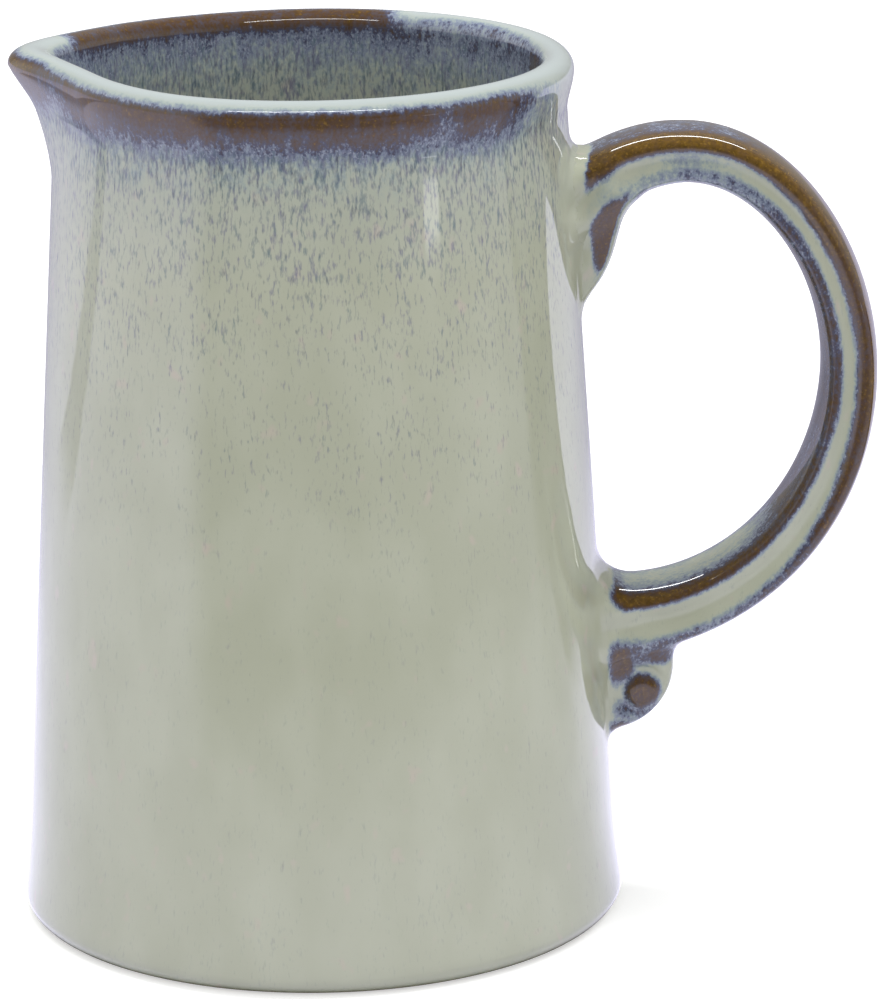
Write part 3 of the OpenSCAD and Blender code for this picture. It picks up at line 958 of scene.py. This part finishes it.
# Scroll: thinness of its brown lower edge, the heights above its lowest point and the distances out over
# which that ends, thinness of its eye and the distances from the eye's middle over which that ends, in
# millimetres
SCROLL_EDGE = 0.8
SCROLL_EDGE_UP = (0.7, 2.4)
SCROLL_EDGE_OUT = (2, 5)
SCROLL_EYE = 0.83
SCROLL_EYE_ENDS = (1.6, 3.1)


def scroll_iron(shape, point):
    """Brown eye and brown lower edge on the scroll, with a bluish way between them"""
    up = (point.z - shape.scroll_z + shape.handle.scroll_r) / MM
    out = (point.x - shape.scroll_x) / MM
    edge = SCROLL_EDGE * (1 - ramp(up, *SCROLL_EDGE_UP)) * (1 - ramp(out, *SCROLL_EDGE_OUT))
    eye = SCROLL_EYE * (1 - ramp(eye_gap(shape, point) / MM, *SCROLL_EYE_ENDS))
    return max(eye, edge, spot(point, *SCROLL_SPOT), tail_spots(point))


def loft_iron(shape, piece, rule, around):
    """Thin glaze on a lofted piece, by each point's place on its ring and mark along the way"""
    values = []
    for vert, place, along in zip(piece.data.vertices, marked(piece, "place"), marked(piece, "along")):
        values.append(rule(shape, ring_share(place, around), along, vert.co))
    return values


def nearest_mark(piece, values):
    """Finder of the value at a piece's nearest point that no other handle piece hides, and of its distance"""
    shown = [i for i, gap in enumerate(marked(piece, "shown")) if gap > 0]
    tree = KDTree(len(shown))
    for i in shown:
        tree.insert(piece.data.vertices[i].co, i)
    tree.balance()

    def find(point):
        _, index, distance = tree.find(point)
        return values[index], distance
    return find


def joint_iron(shape, point, strap_mark, end_mark):
    """Thin glaze near a joint, blended from the strap to the piece at its end"""
    on_strap, strap_gap = strap_mark(point)
    on_end, end_gap = end_mark(point)
    share = ramp(strap_gap - end_gap, -SIDE_FADE, SIDE_FADE)
    return mix(on_strap, on_end, share) * off_wall(shape, point)


def mark_glaze(shape, body, strap, spur, scroll):
    """Store how thin, flecked and bloomed the glaze is and where the clay is bare, for every point"""
    runs = marked(body, "run")
    own = {
        body: body_iron(body, runs),
        strap: loft_iron(shape, strap, strap_iron, STRAP_AROUND),
        spur: loft_iron(shape, spur, spur_iron, SPUR_AROUND),
        scroll: [scroll_iron(shape, vert.co) for vert in scroll.data.vertices],
    }
    marks = [nearest_mark(piece, own[piece]) for piece in (strap, spur, scroll)]
    strap_mark, spur_mark, scroll_mark = marks
    low, high = JOINT_ZONES
    for piece, values in own.items():
        points = [vert.co for vert in piece.data.vertices]
        iron = []
        for point, value in zip(points, values):
            bare_wall = piece is body and shape.wall_gap(point) < SLIP_STANDS
            if not bare_wall and shape.near_joint(point, high):
                value = joint_iron(shape, point, strap_mark, spur_mark)
            elif not bare_wall and shape.near_joint(point, low):
                value = joint_iron(shape, point, strap_mark, scroll_mark)
            iron.append(value)
        fleck = [HANDLE_FLECK] * len(points)
        bloom = [HANDLE_BLOOM] * len(points)
        if piece is body:
            gaps = [min(mark(point)[1] for mark in marks) for point in points]
            fleck = [fleck_share(run) * ramp(gap / MM, *FLECK_CLEAR) for run, gap in zip(runs, gaps)]
            bloom = [level(abs(run) / MM, BLOOM) for run in runs]
        clay = [1 - ramp(point.z / MM, *CLAY_EDGE) for point in points]
        paint(piece, iron=iron, fleck=fleck, bloom=bloom, clay=clay)


def add(tree, kind, sockets=None, stops=(), **settings):
    """Add a shader node with its settings and colour stops, and set its inputs or link them to other nodes"""
    node = tree.nodes.new("ShaderNode" + kind)
    for key, value in settings.items():
        setattr(node, key, value)
    for i, (place, tint) in enumerate(stops):
        elements = node.color_ramp.elements
        stop = elements[i] if i < len(elements) else elements.new(place)
        stop.position = place
        stop.color = (*tint, 1)
    for key, value in (sockets or {}).items():
        if isinstance(value, bpy.types.Node):
            value = next(output for output in value.outputs if output.enabled)
        if isinstance(value, bpy.types.NodeSocket):
            tree.links.new(value, node.inputs[key])
        elif node.inputs[key].type == "RGBA":
            node.inputs[key].default_value = (*value, 1)
        else:
            node.inputs[key].default_value = value
    return node


def new_material(name):
    """An empty material with nodes"""
    material = bpy.data.materials.new(name)
    material.use_nodes = True
    material.node_tree.nodes.clear()
    return material


# Patterns of the glaze: size of the grains across and upright in millimetres, fineness of their detail,
# the span of the noise that is drawn out, and the two ends that it is drawn out to. The crystals are drawn
# coarser than real ones, so that they show
SPECKLE = ((0.42, 0.55), 3, (0, 1), (-0.31, 0.31))
RUNS = ((1.1, 4.5), 2, (0, 1), (-0.225, 0.225))
PATCHES = ((4, 2.6), 2, (0, 1), (-0.2, 0.2))
CLOUDS = ((9, 16), 2, (0.4, 0.65), (0, 1))
BLUSHES = ((2.2, 3), 1, (0.66, 0.8), (0, 1))
MOTTLES = ((0.7, 0.7), 3, (0.42, 0.62), (0, 0.5))
SPECKS = ((0.4, 0.4), 1, (0.56, 0.7), (0, 0.4))
CLUMPS = ((4.5, 6), 2, (0, 1), (-0.11, 0.11))
FLECKS = ((0.36, 1.3), 2.5, (0, 1), (0, 1))
FLECK_TINTS = ((1.2, 2.6), 2, (0.42, 0.58), (0, 1))
FLECK_DARKS = ((0.9, 1.6), 2, (0.55, 0.65), (0, 0.6))
CRYSTALS = ((0.26, 0.34), 1, (0.54, 0.68), (0, 1))
WAVES = ((7, 9), 2, (0, 1), (0, 1))
# How rough the detail of all the patterns is
GRAIN_ROUGHNESS = 0.55
# Thinness at which the patterns no longer break the glaze up, and how much they do so before it
UNEVEN_END = 1.05
UNEVEN_SHARE = 3.8
# Thinness at which the glaze has each colour, over which these begin, and over which the brown is at its
# thinnest
GLAZE_BANDS = (
    (0, "pale"), (0.2, "mist"), (0.42, "lilac"), (0.56, "slate"), (0.68, "dusk"), (0.8, "umber"),
    (1, "amber"),
)
BANDS_BEGIN = {"From Min": 0.04, "From Max": 0.26}
THINNEST = {"From Min": 0.74, "From Max": 0.9}
# Flecks: how much their thickness crowds them and strengthens them from a least strength, the noise over
# which one begins, the thickness over which they come in and grow dark, and the thinness over which they
# end
FLECK_CROWDS = 0.27
FLECK_GAINS = 0.35
FLECK_LEAST = 0.55
FLECK_BEGINS = {"From Min": 0.63, "From Max": 0.86}
FLECK_COMES = {"From Min": 0, "From Max": 0.2}
FLECK_ENDS = {"From Min": 0.55, "From Max": 0.4}
FLECK_DARKENS = {"From Min": 0.5, "From Max": 1, "To Max": 0.6}
# Thinness that is frosted most, and how the frost fades away from it
FROST_MIDDLE = 0.46
FROST_FADES = {"From Min": 0.2, "From Max": 0, "To Max": 0.38}
# Fired glass is hard, clear and nearly mirror smooth, which gives sharp highlights; long low waves bend
# them a little
GLASS = {"Roughness": 0.045, "IOR": 1.5}
WAVE_SKIN = {"Strength": 0.25, "Distance": 0.15 * MM}


def grains(tree, coords, size, detail, span, ends):
    """Pattern of grains of a size in millimetres, with a span of its noise drawn out to two ends"""
    across, upright = size
    scale = (1 / (across * MM), 1 / (across * MM), 1 / (upright * MM))
    place = add(tree, "VectorMath", {0: coords, 1: scale}, operation="MULTIPLY")
    fineness = {"Scale": 1, "Detail": detail, "Roughness": GRAIN_ROUGHNESS}
    noise = add(tree, "TexNoise", {"Vector": place, **fineness})
    limits = {"From Min": span[0], "From Max": span[1], "To Min": ends[0], "To Max": ends[1]}
    return add(tree, "MapRange", {"Value": noise, **limits})


def uneven_thinness(tree, coords, iron):
    """Thinness broken up by speckle, runs and patches, most where the glaze is half thin"""
    uneven = 0
    for pattern in (SPECKLE, RUNS, PATCHES):
        part = grains(tree, coords, *pattern)
        uneven = add(tree, "Math", {0: part, 1: uneven}, operation="ADD")
    rest = add(tree, "Math", {0: UNEVEN_END, 1: iron}, operation="SUBTRACT")
    half = add(tree, "Math", {0: iron, 1: rest}, operation="MULTIPLY")
    share = add(tree, "Math", {0: half, 1: UNEVEN_SHARE}, operation="MULTIPLY")
    return add(tree, "Math", {0: uneven, 1: share, 2: iron}, operation="MULTIPLY_ADD", use_clamp=True)


def thick_glaze(tree, coords, bloom, colours):
    """Pale glaze with faint creamy clouds, small warm blushes and a blue-white bloom at the lip"""
    clouds = grains(tree, coords, *CLOUDS)
    blushes = grains(tree, coords, *BLUSHES)
    glaze = colours.pale
    # Sockets 6 and 7 of a Mix node are its two colours
    for share, tint in ((clouds, colours.cream), (blushes, colours.blush), (bloom, colours.bloom)):
        glaze = add(tree, "Mix", {0: share, 6: glaze, 7: tint}, data_type="RGBA")
    return glaze


def thin_glaze(tree, coords, thin, glaze, colours):
    """Bands of colour over the thick glaze, with dark mottling and golden specks where it is thinnest"""
    band = add(tree, "ValToRGB", {0: thin}, [(place, getattr(colours, name)) for place, name in GLAZE_BANDS])
    begun = add(tree, "MapRange", {"Value": thin, **BANDS_BEGIN})
    glaze = add(tree, "Mix", {0: begun, 6: glaze, 7: band}, data_type="RGBA")
    thinnest = add(tree, "MapRange", {"Value": thin, **THINNEST})
    for pattern, tint in ((MOTTLES, colours.mottle), (SPECKS, colours.gold)):
        part = grains(tree, coords, *pattern)
        share = add(tree, "Math", {0: part, 1: thinnest}, operation="MULTIPLY")
        glaze = add(tree, "Mix", {0: share, 6: glaze, 7: tint}, data_type="RGBA")
    return glaze


def flecked_glaze(tree, coords, thin, fleck, glaze, colours):
    """Upright flecks, fine and soft, in loose clumps that crowd together under the rim"""
    clumps = grains(tree, coords, *CLUMPS)
    crowd = add(tree, "Math", {0: fleck, 1: FLECK_CROWDS, 2: clumps}, operation="MULTIPLY_ADD")
    seed = add(tree, "Math", {0: grains(tree, coords, *FLECKS), 1: crowd}, operation="ADD")
    share = add(tree, "Math", {0: fleck, 1: FLECK_GAINS, 2: FLECK_LEAST}, operation="MULTIPLY_ADD")
    for value, limits in ((seed, FLECK_BEGINS), (fleck, FLECK_COMES), (thin, FLECK_ENDS)):
        part = add(tree, "MapRange", {"Value": value, **limits})
        share = add(tree, "Math", {0: share, 1: part}, operation="MULTIPLY")
    violet = grains(tree, coords, *FLECK_TINTS)
    tint = add(tree, "Mix", {0: violet, 6: colours.blue_fleck, 7: colours.violet_fleck}, data_type="RGBA")
    dense = add(tree, "MapRange", {"Value": fleck, **FLECK_DARKENS})
    darks = grains(tree, coords, *FLECK_DARKS)
    dark = add(tree, "Math", {0: dense, 1: darks}, operation="ADD", use_clamp=True)
    tint = add(tree, "Mix", {0: dark, 6: tint, 7: colours.slate}, data_type="RGBA")
    return add(tree, "Mix", {0: share, 6: glaze, 7: tint}, data_type="RGBA")


def frosted_glaze(tree, coords, thin, glaze, colours):
    """Fine crystals that frost the violet between the pale glaze and the brown"""
    past = add(tree, "Math", {0: thin, 1: FROST_MIDDLE}, operation="SUBTRACT")
    away = add(tree, "Math", {0: past}, operation="ABSOLUTE")
    frosty = add(tree, "MapRange", {"Value": away, **FROST_FADES})
    crystals = grains(tree, coords, *CRYSTALS)
    share = add(tree, "Math", {0: frosty, 1: crystals}, operation="MULTIPLY")
    return add(tree, "Mix", {0: share, 6: glaze, 7: colours.frost}, data_type="RGBA")


def reactive_glaze(colours):
    """Glossy reactive stoneware glaze: pale where thick, blue-violet where it thins, brown iron on edges"""
    material = new_material("reactive_stoneware_glaze")
    tree = material.node_tree
    coords = add(tree, "TexCoord").outputs["Object"]
    names = ("iron", "fleck", "bloom", "clay")
    marks = [add(tree, "Attribute", attribute_name=name).outputs["Fac"] for name in names]
    iron, fleck, bloom, clay = marks
    thin = uneven_thinness(tree, coords, iron)
    glaze = thick_glaze(tree, coords, bloom, colours)
    glaze = thin_glaze(tree, coords, thin, glaze, colours)
    glaze = flecked_glaze(tree, coords, thin, fleck, glaze, colours)
    glaze = frosted_glaze(tree, coords, thin, glaze, colours)
    tone = add(tree, "Mix", {0: clay, 6: glaze, 7: colours.clay}, data_type="RGBA")
    skin = add(tree, "Bump", {"Height": grains(tree, coords, *WAVES), **WAVE_SKIN})
    shader = add(tree, "BsdfPrincipled", {"Base Color": tone, "Normal": skin, **GLASS})
    add(tree, "OutputMaterial", {"Surface": shader})
    return material


# Stage

WHITE = (1, 1, 1)
# Points around the floor; its matt paper, which scatters the light and shows no highlight; and the glow that
# makes it white to the camera
FLOOR_POINTS = 96
PAPER = "#CCCCCC"
PAPER_GLOW = 0.5
# Tint and light of the brightest cards, and how far in front of the jug's middle their ring has its own
CARD_TINT = "#E8E6FF"
CARD_LIGHT = 2.4
CARD_FRONT = 25 * MM
# Brightness of the cards as a share of the brightest, by the turn in degrees from the spout's side round
# by the front: far off and near the jug, and the distances in metres over which one goes over into the
# other
FAR_CARDS = (
    (0, 0.9), (34, 0.9), (46, 0.16), (110, 0.16), (150, 0.36), (189, 0.38), (193, 0.1), (207, 0.1), (211, 1),
    (222, 0.8), (236, 0.55), (250, 0.34), (262, 0.2), (278, 0.2), (290, 0.32), (304, 0.5), (318, 0.75),
    (329, 0.9), (359.9, 0.9),
)
NEAR_CARDS = (
    (0, 0.9), (34, 0.9), (60, 0.86), (150, 0.86), (195, 0.72), (205, 0.72), (225, 0.9), (250, 0.75),
    (270, 0.45), (290, 0.6), (325, 0.85), (359.9, 0.9),
)
FAR_BEGINS_AT = {"From Min": 0.1, "From Max": 0.26}
# Painted shadow under the foot: a dark line in the gloss that stands for the reflected shadow where the jug
# meets the floor; the distances in metres over which the cards begin
FOOT_SHADOW_LINE = {"From Min": 0.0374, "From Max": 0.0388}
# Dark slots between the cards: how far behind the jug, half width and place across where it begins in
# millimetres, and the share of the light that it takes; the softness of its edges, and of its beginning
# as shares of that place
SLOTS = ((160, 36, -240, 0.5), (78, 24, 145, 0.8))
SLOT_EDGE = 3
SLOT_BEGINS = (0.85, 1.15)
# Room: the way to its bright top, and its light about that
SKY_WAY = (0, -0.55, 0.835)
SKY = {"From Min": 0.5, "From Max": 0.97, "To Min": 0.47, "To Max": 1.57}
# Room in the gloss: its least light, and its left, right and back walls by the way looked, the right one
# ending above
ROOM_LEAST = 0.15
LEFT_WALL = {"From Min": -0.6, "From Max": -0.85, "To Max": 1.2}
RIGHT_WALL = {"From Min": 0.6, "From Max": 0.85, "To Max": 0.6}
RIGHT_TOP = {"From Min": 0.55, "From Max": 0.25}
BACK_WALL = {"From Min": 0.5, "From Max": 0.8, "To Max": 0.25}
# Lights: place, target, width and height in metres, and power in watts
TOP_BOX = ((0.05, 0.15, 1), (0.02, 0, 0.08), 1.5, 0.14, 12)
FRONT_STRIP = ((0, -0.6, 0.95), (0, 0, 0.11), 1.1, 0.045, 4.5)
BACK_STRIP = ((0.06, 0.75, 0.76), (0.05, 0, 0.08), 0.9, 0.045, 2.4)
SMALL_BOX = ((0.335, -0.26, 0.053), (0, 0, 0.07), 0.05, 0.012, 0.0062)
# Width of the camera's sensor in millimetres
SENSOR = 36


def card_light(tree):
    """Light of the cards by the place on the floor, dark in the slots, and a painted shadow close under the
    foot
    """
    coords = add(tree, "TexCoord").outputs["Object"]
    place = add(tree, "SeparateXYZ", {0: coords}).outputs
    ahead = add(tree, "Math", {0: place[1], 1: CARD_FRONT}, operation="ADD")
    turn = add(tree, "Math", {0: ahead, 1: place[0]}, operation="ARCTAN2")
    turn_share = add(tree, "MapRange", {"Value": turn, "From Min": -pi, "From Max": pi})
    near, far = (
        add(tree, "ValToRGB", {0: turn_share}, [(degree / 360, (bright,) * 3) for degree, bright in cards])
        for cards in (NEAR_CARDS, FAR_CARDS)
    )
    away = add(tree, "VectorMath", {0: coords}, operation="LENGTH")
    far_share = add(tree, "MapRange", {"Value": away, **FAR_BEGINS_AT})
    light = add(tree, "Mix", {0: far_share, 6: near, 7: far}, data_type="RGBA")
    for back, half, begin, dark in SLOTS:
        past = add(tree, "Math", {0: place[1], 1: back * MM}, operation="SUBTRACT")
        off = add(tree, "Math", {0: past}, operation="ABSOLUTE")
        edge = {"From Min": (half + SLOT_EDGE) * MM, "From Max": (half - SLOT_EDGE) * MM}
        inside = add(tree, "MapRange", {"Value": off, **edge})
        first, last = (begin * share * MM for share in SLOT_BEGINS)
        begins = {"From Min": first, "From Max": last, "To Max": dark}
        begun = add(tree, "MapRange", {"Value": place[0], **begins})
        taken = add(tree, "Math", {0: inside, 1: begun}, operation="MULTIPLY")
        left = add(tree, "Math", {0: 1, 1: taken}, operation="SUBTRACT")
        light = add(tree, "Math", {0: light, 1: left}, operation="MULTIPLY")
    # No card light close under the foot: a painted shadow in the jug's gloss
    clear = add(tree, "MapRange", {"Value": away, "To Max": CARD_LIGHT, **FOOT_SHADOW_LINE})
    return add(tree, "Math", {0: light, 1: clear}, operation="MULTIPLY")


def stage_floor(stage):
    """Pale matt paper, white to the camera; the cards lying around the jug show only in its gloss"""
    circle = {"vertices": FLOOR_POINTS, "radius": stage.floor_r, "fill_type": "NGON"}
    piece = start(bpy.ops.mesh.primitive_circle_add, "floor", **circle)
    bpy.ops.object.mode_set(mode="OBJECT")
    material = new_material("matt_white_paper")
    tree = material.node_tree
    rays = add(tree, "LightPath").outputs
    paper = add(tree, "BsdfDiffuse", {"Color": linear(PAPER)})
    glow = add(tree, "Emission", {"Color": WHITE, "Strength": PAPER_GLOW})
    lit = add(tree, "AddShader", {0: paper, 1: glow})
    seen = add(tree, "MixShader", {0: rays["Is Camera Ray"], 1: paper, 2: lit})
    gloss = add(tree, "Emission", {"Color": linear(CARD_TINT), "Strength": card_light(tree)})
    seen = add(tree, "MixShader", {0: rays["Is Glossy Ray"], 1: seen, 2: gloss})
    add(tree, "OutputMaterial", {"Surface": seen})
    piece.data.materials.append(material)


def soft_box(name, place, target, width, height, power):
    """A rectangular soft light at a place, facing a target"""
    light = bpy.data.lights.new(name, "AREA")
    light.shape = "RECTANGLE"
    light.size = width
    light.size_y = height
    light.energy = power
    lamp = bpy.data.objects.new(name, light)
    bpy.context.collection.objects.link(lamp)
    lamp.location = place
    lamp.rotation_euler = (Vector(target) - Vector(place)).to_track_quat("-Z", "Y").to_euler()
    return lamp


def light_only(lamp, names):
    """Let a light fall only on the pieces named, and show only in their gloss"""
    group = bpy.data.collections.new(lamp.name)
    for name in names:
        group.objects.link(piece_named(name))
    lamp.light_linking.receiver_collection = group
    lamp.visible_diffuse = False


def stage_world(scene):
    """Room that is white to the camera, brightest overhead, and dim in the gloss but for three walls"""
    world = scene.world or bpy.data.worlds.new("studio")
    scene.world = world
    world.use_nodes = True
    tree = world.node_tree
    tree.nodes.clear()
    rays = add(tree, "LightPath").outputs
    look = add(tree, "TexCoord").outputs["Generated"]
    way = add(tree, "SeparateXYZ", {0: look}).outputs
    above = add(tree, "VectorMath", {0: look, 1: SKY_WAY}, operation="DOT_PRODUCT")
    sky = add(tree, "MapRange", {"Value": above, **SKY})
    left = add(tree, "MapRange", {"Value": way[0], **LEFT_WALL})
    right = add(tree, "MapRange", {"Value": way[0], **RIGHT_WALL})
    right_top = add(tree, "MapRange", {"Value": way[2], **RIGHT_TOP})
    back = add(tree, "MapRange", {"Value": way[1], **BACK_WALL})
    walls = add(tree, "Math", {0: right, 1: right_top, 2: left}, operation="MULTIPLY_ADD")
    walls = add(tree, "Math", {0: walls, 1: back}, operation="ADD")
    walls = add(tree, "Math", {0: walls, 1: ROOM_LEAST}, operation="ADD")
    sheet = add(tree, "Background", {"Color": WHITE, "Strength": 1})
    room = add(tree, "Background", {"Color": WHITE, "Strength": sky})
    dim = add(tree, "Background", {"Color": WHITE, "Strength": walls})
    seen = add(tree, "MixShader", {0: rays["Is Camera Ray"], 1: room, 2: sheet})
    seen = add(tree, "MixShader", {0: rays["Is Glossy Ray"], 1: seen, 2: dim})
    add(tree, "OutputWorld", {"Surface": seen})


def stage_light():
    """A long soft box overhead, a thin strip in the body's gloss, one in the handle's, and a small low box"""
    top = soft_box("top_box", *TOP_BOX)
    top.visible_glossy = False
    light_only(soft_box("front_strip", *FRONT_STRIP), PIECES[:1])
    light_only(soft_box("back_strip", *BACK_STRIP), PIECES[1:])
    soft_box("small_box", *SMALL_BOX)


def stage_camera(scene, stage):
    """Camera at the viewing angle of the photograph"""
    camera = bpy.data.cameras.new("camera")
    camera.lens = stage.lens
    camera.sensor_width = SENSOR
    holder = bpy.data.objects.new("camera", camera)
    bpy.context.collection.objects.link(holder)
    turn = Matrix.Rotation(-stage.yaw, 4, "Z") @ Matrix.Rotation(pi / 2 - stage.pitch, 4, "X")
    turn = turn @ Matrix.Rotation(stage.roll, 4, "Z")
    holder.matrix_world = Matrix.Translation((stage.camera_x, stage.camera_y, stage.camera_z)) @ turn
    scene.camera = holder


# Operators

def piece_named(name):
    """A piece that an earlier step has modelled"""
    piece = bpy.data.objects.get(name)
    if piece is None:
        raise RuntimeError("Model the " + name + " first")
    return piece


class JUG_OT_body(bpy.types.Operator):
    """Model the thrown body with its foot, lip and spout"""
    bl_idname = "jug.body"
    bl_label = "Body"

    def execute(self, context):
        piece = model_body(JugShape(context.scene))
        hand_over(piece, "pale_glaze", "body", "upper_slip_joint", "lower_slip_joint")
        return {"FINISHED"}


class JUG_OT_strap(bpy.types.Operator):
    """Model the grooved strap of the handle"""
    bl_idname = "jug.strap"
    bl_label = "Handle strap"

    def execute(self, context):
        hand_over(model_strap(JugShape(context.scene)), "iron_glaze", "handle_strap")
        return {"FINISHED"}


class JUG_OT_spur(bpy.types.Operator):
    """Model the spur under the upper root"""
    bl_idname = "jug.spur"
    bl_label = "Handle spur"

    def execute(self, context):
        hand_over(model_spur(JugShape(context.scene)), "iron_glaze", "handle_spur")
        return {"FINISHED"}


class JUG_OT_scroll(bpy.types.Operator):
    """Model the rolled scroll under the lower root"""
    bl_idname = "jug.scroll"
    bl_label = "Handle scroll"

    def execute(self, context):
        hand_over(model_scroll(JugShape(context.scene)), "iron_glaze", "handle_scroll")
        return {"FINISHED"}


class JUG_OT_joints(bpy.types.Operator):
    """Cut the handle's ends inside the wall and wipe the slip joints smooth"""
    bl_idname = "jug.joints"
    bl_label = "Slip joints"

    def execute(self, context):
        shape = JugShape(context.scene)
        body, strap, spur, scroll = (piece_named(name) for name in PIECES)
        strap_gap, spur_gap, scroll_gap = (gap_to(piece) for piece in (strap, spur, scroll))
        for piece, others in ((strap, (spur_gap, scroll_gap)), (spur, (strap_gap,)), (scroll, (strap_gap,))):
            cut_at_wall(shape, piece)
            paint(piece, shown=[min(other(vert.co) for other in others) for vert in piece.data.vertices])
        low, high = JOINT_ZONES
        joints = (
            (high, spur, spur_gap, shape.upper_reach, shape.handle.spur_fillet),
            (low, scroll, scroll_gap, shape.lower_reach, shape.handle.side_fillet),
        )
        for zone, end, end_gap, reach, end_reach in joints:
            gap = joint_gap(shape, strap_gap, end_gap, reach, end_reach)
            flow_out(shape, body, zone, gap, reach, (strap_gap, end_gap))
            flow_out(shape, strap, zone, gap, reach, (shape.wall_gap, end_gap))
            flow_out(shape, end, zone, gap, reach, (shape.wall_gap, strap_gap))
        return {"FINISHED"}


class JUG_OT_glaze(bpy.types.Operator):
    """Lay the reactive glaze over every piece"""
    bl_idname = "jug.glaze"
    bl_label = "Glaze"

    def execute(self, context):
        shape = JugShape(context.scene)
        body, strap, spur, scroll = (piece_named(name) for name in PIECES)
        mark_glaze(shape, body, strap, spur, scroll)
        glaze = reactive_glaze(context.scene.jug_glaze)
        for piece in (body, strap, spur, scroll):
            piece.data.materials.append(glaze)
        return {"FINISHED"}


class JUG_OT_stage(bpy.types.Operator):
    """Set the floor, the room, the soft light and the camera"""
    bl_idname = "jug.stage"
    bl_label = "Stage"

    def execute(self, context):
        scene = context.scene
        stage_floor(scene.jug_stage)
        stage_world(scene)
        stage_light()
        stage_camera(scene, scene.jug_stage)
        scene.view_settings.view_transform = "Standard"
        return {"FINISHED"}


class JUG_PT_panel(bpy.types.Panel):
    """Sizes, colours and steps of the jug"""
    bl_label = "Cream jug"
    bl_idname = "JUG_PT_panel"
    bl_space_type = "VIEW_3D"
    bl_region_type = "UI"
    bl_category = "Cream jug"

    def draw(self, context):
        for operator in OPERATORS:
            self.layout.operator(operator.bl_idname)
        for name, group in GROUPS.items():
            column = self.layout.box().column()
            for key in group.__annotations__:
                column.prop(getattr(context.scene, name), key)


GROUPS = {
    "jug_body": JugBodySizes,
    "jug_handle": JugHandleSizes,
    "jug_glaze": JugGlazeColours,
    "jug_stage": JugStageSettings,
}
OPERATORS = (
    JUG_OT_body, JUG_OT_strap, JUG_OT_spur, JUG_OT_scroll, JUG_OT_joints, JUG_OT_glaze, JUG_OT_stage,
)
CLASSES = (*GROUPS.values(), *OPERATORS, JUG_PT_panel)


def register():
    """Register the classes and give the scene its groups of sizes and colours"""
    for item in CLASSES:
        bpy.utils.register_class(item)
    for name, group in GROUPS.items():
        setattr(bpy.types.Scene, name, PointerProperty(type=group))


def unregister():
    """Take the groups and the classes away again"""
    for name in GROUPS:
        delattr(bpy.types.Scene, name)
    for item in reversed(CLASSES):
        bpy.utils.unregister_class(item)


def main():
    """Build the jug step by step"""
    register()
    bpy.ops.jug.body()
    bpy.ops.jug.strap()
    bpy.ops.jug.spur()
    bpy.ops.jug.scroll()
    bpy.ops.jug.joints()
    bpy.ops.jug.glaze()
    bpy.ops.jug.stage()


if __name__ == "__main__":
    main()
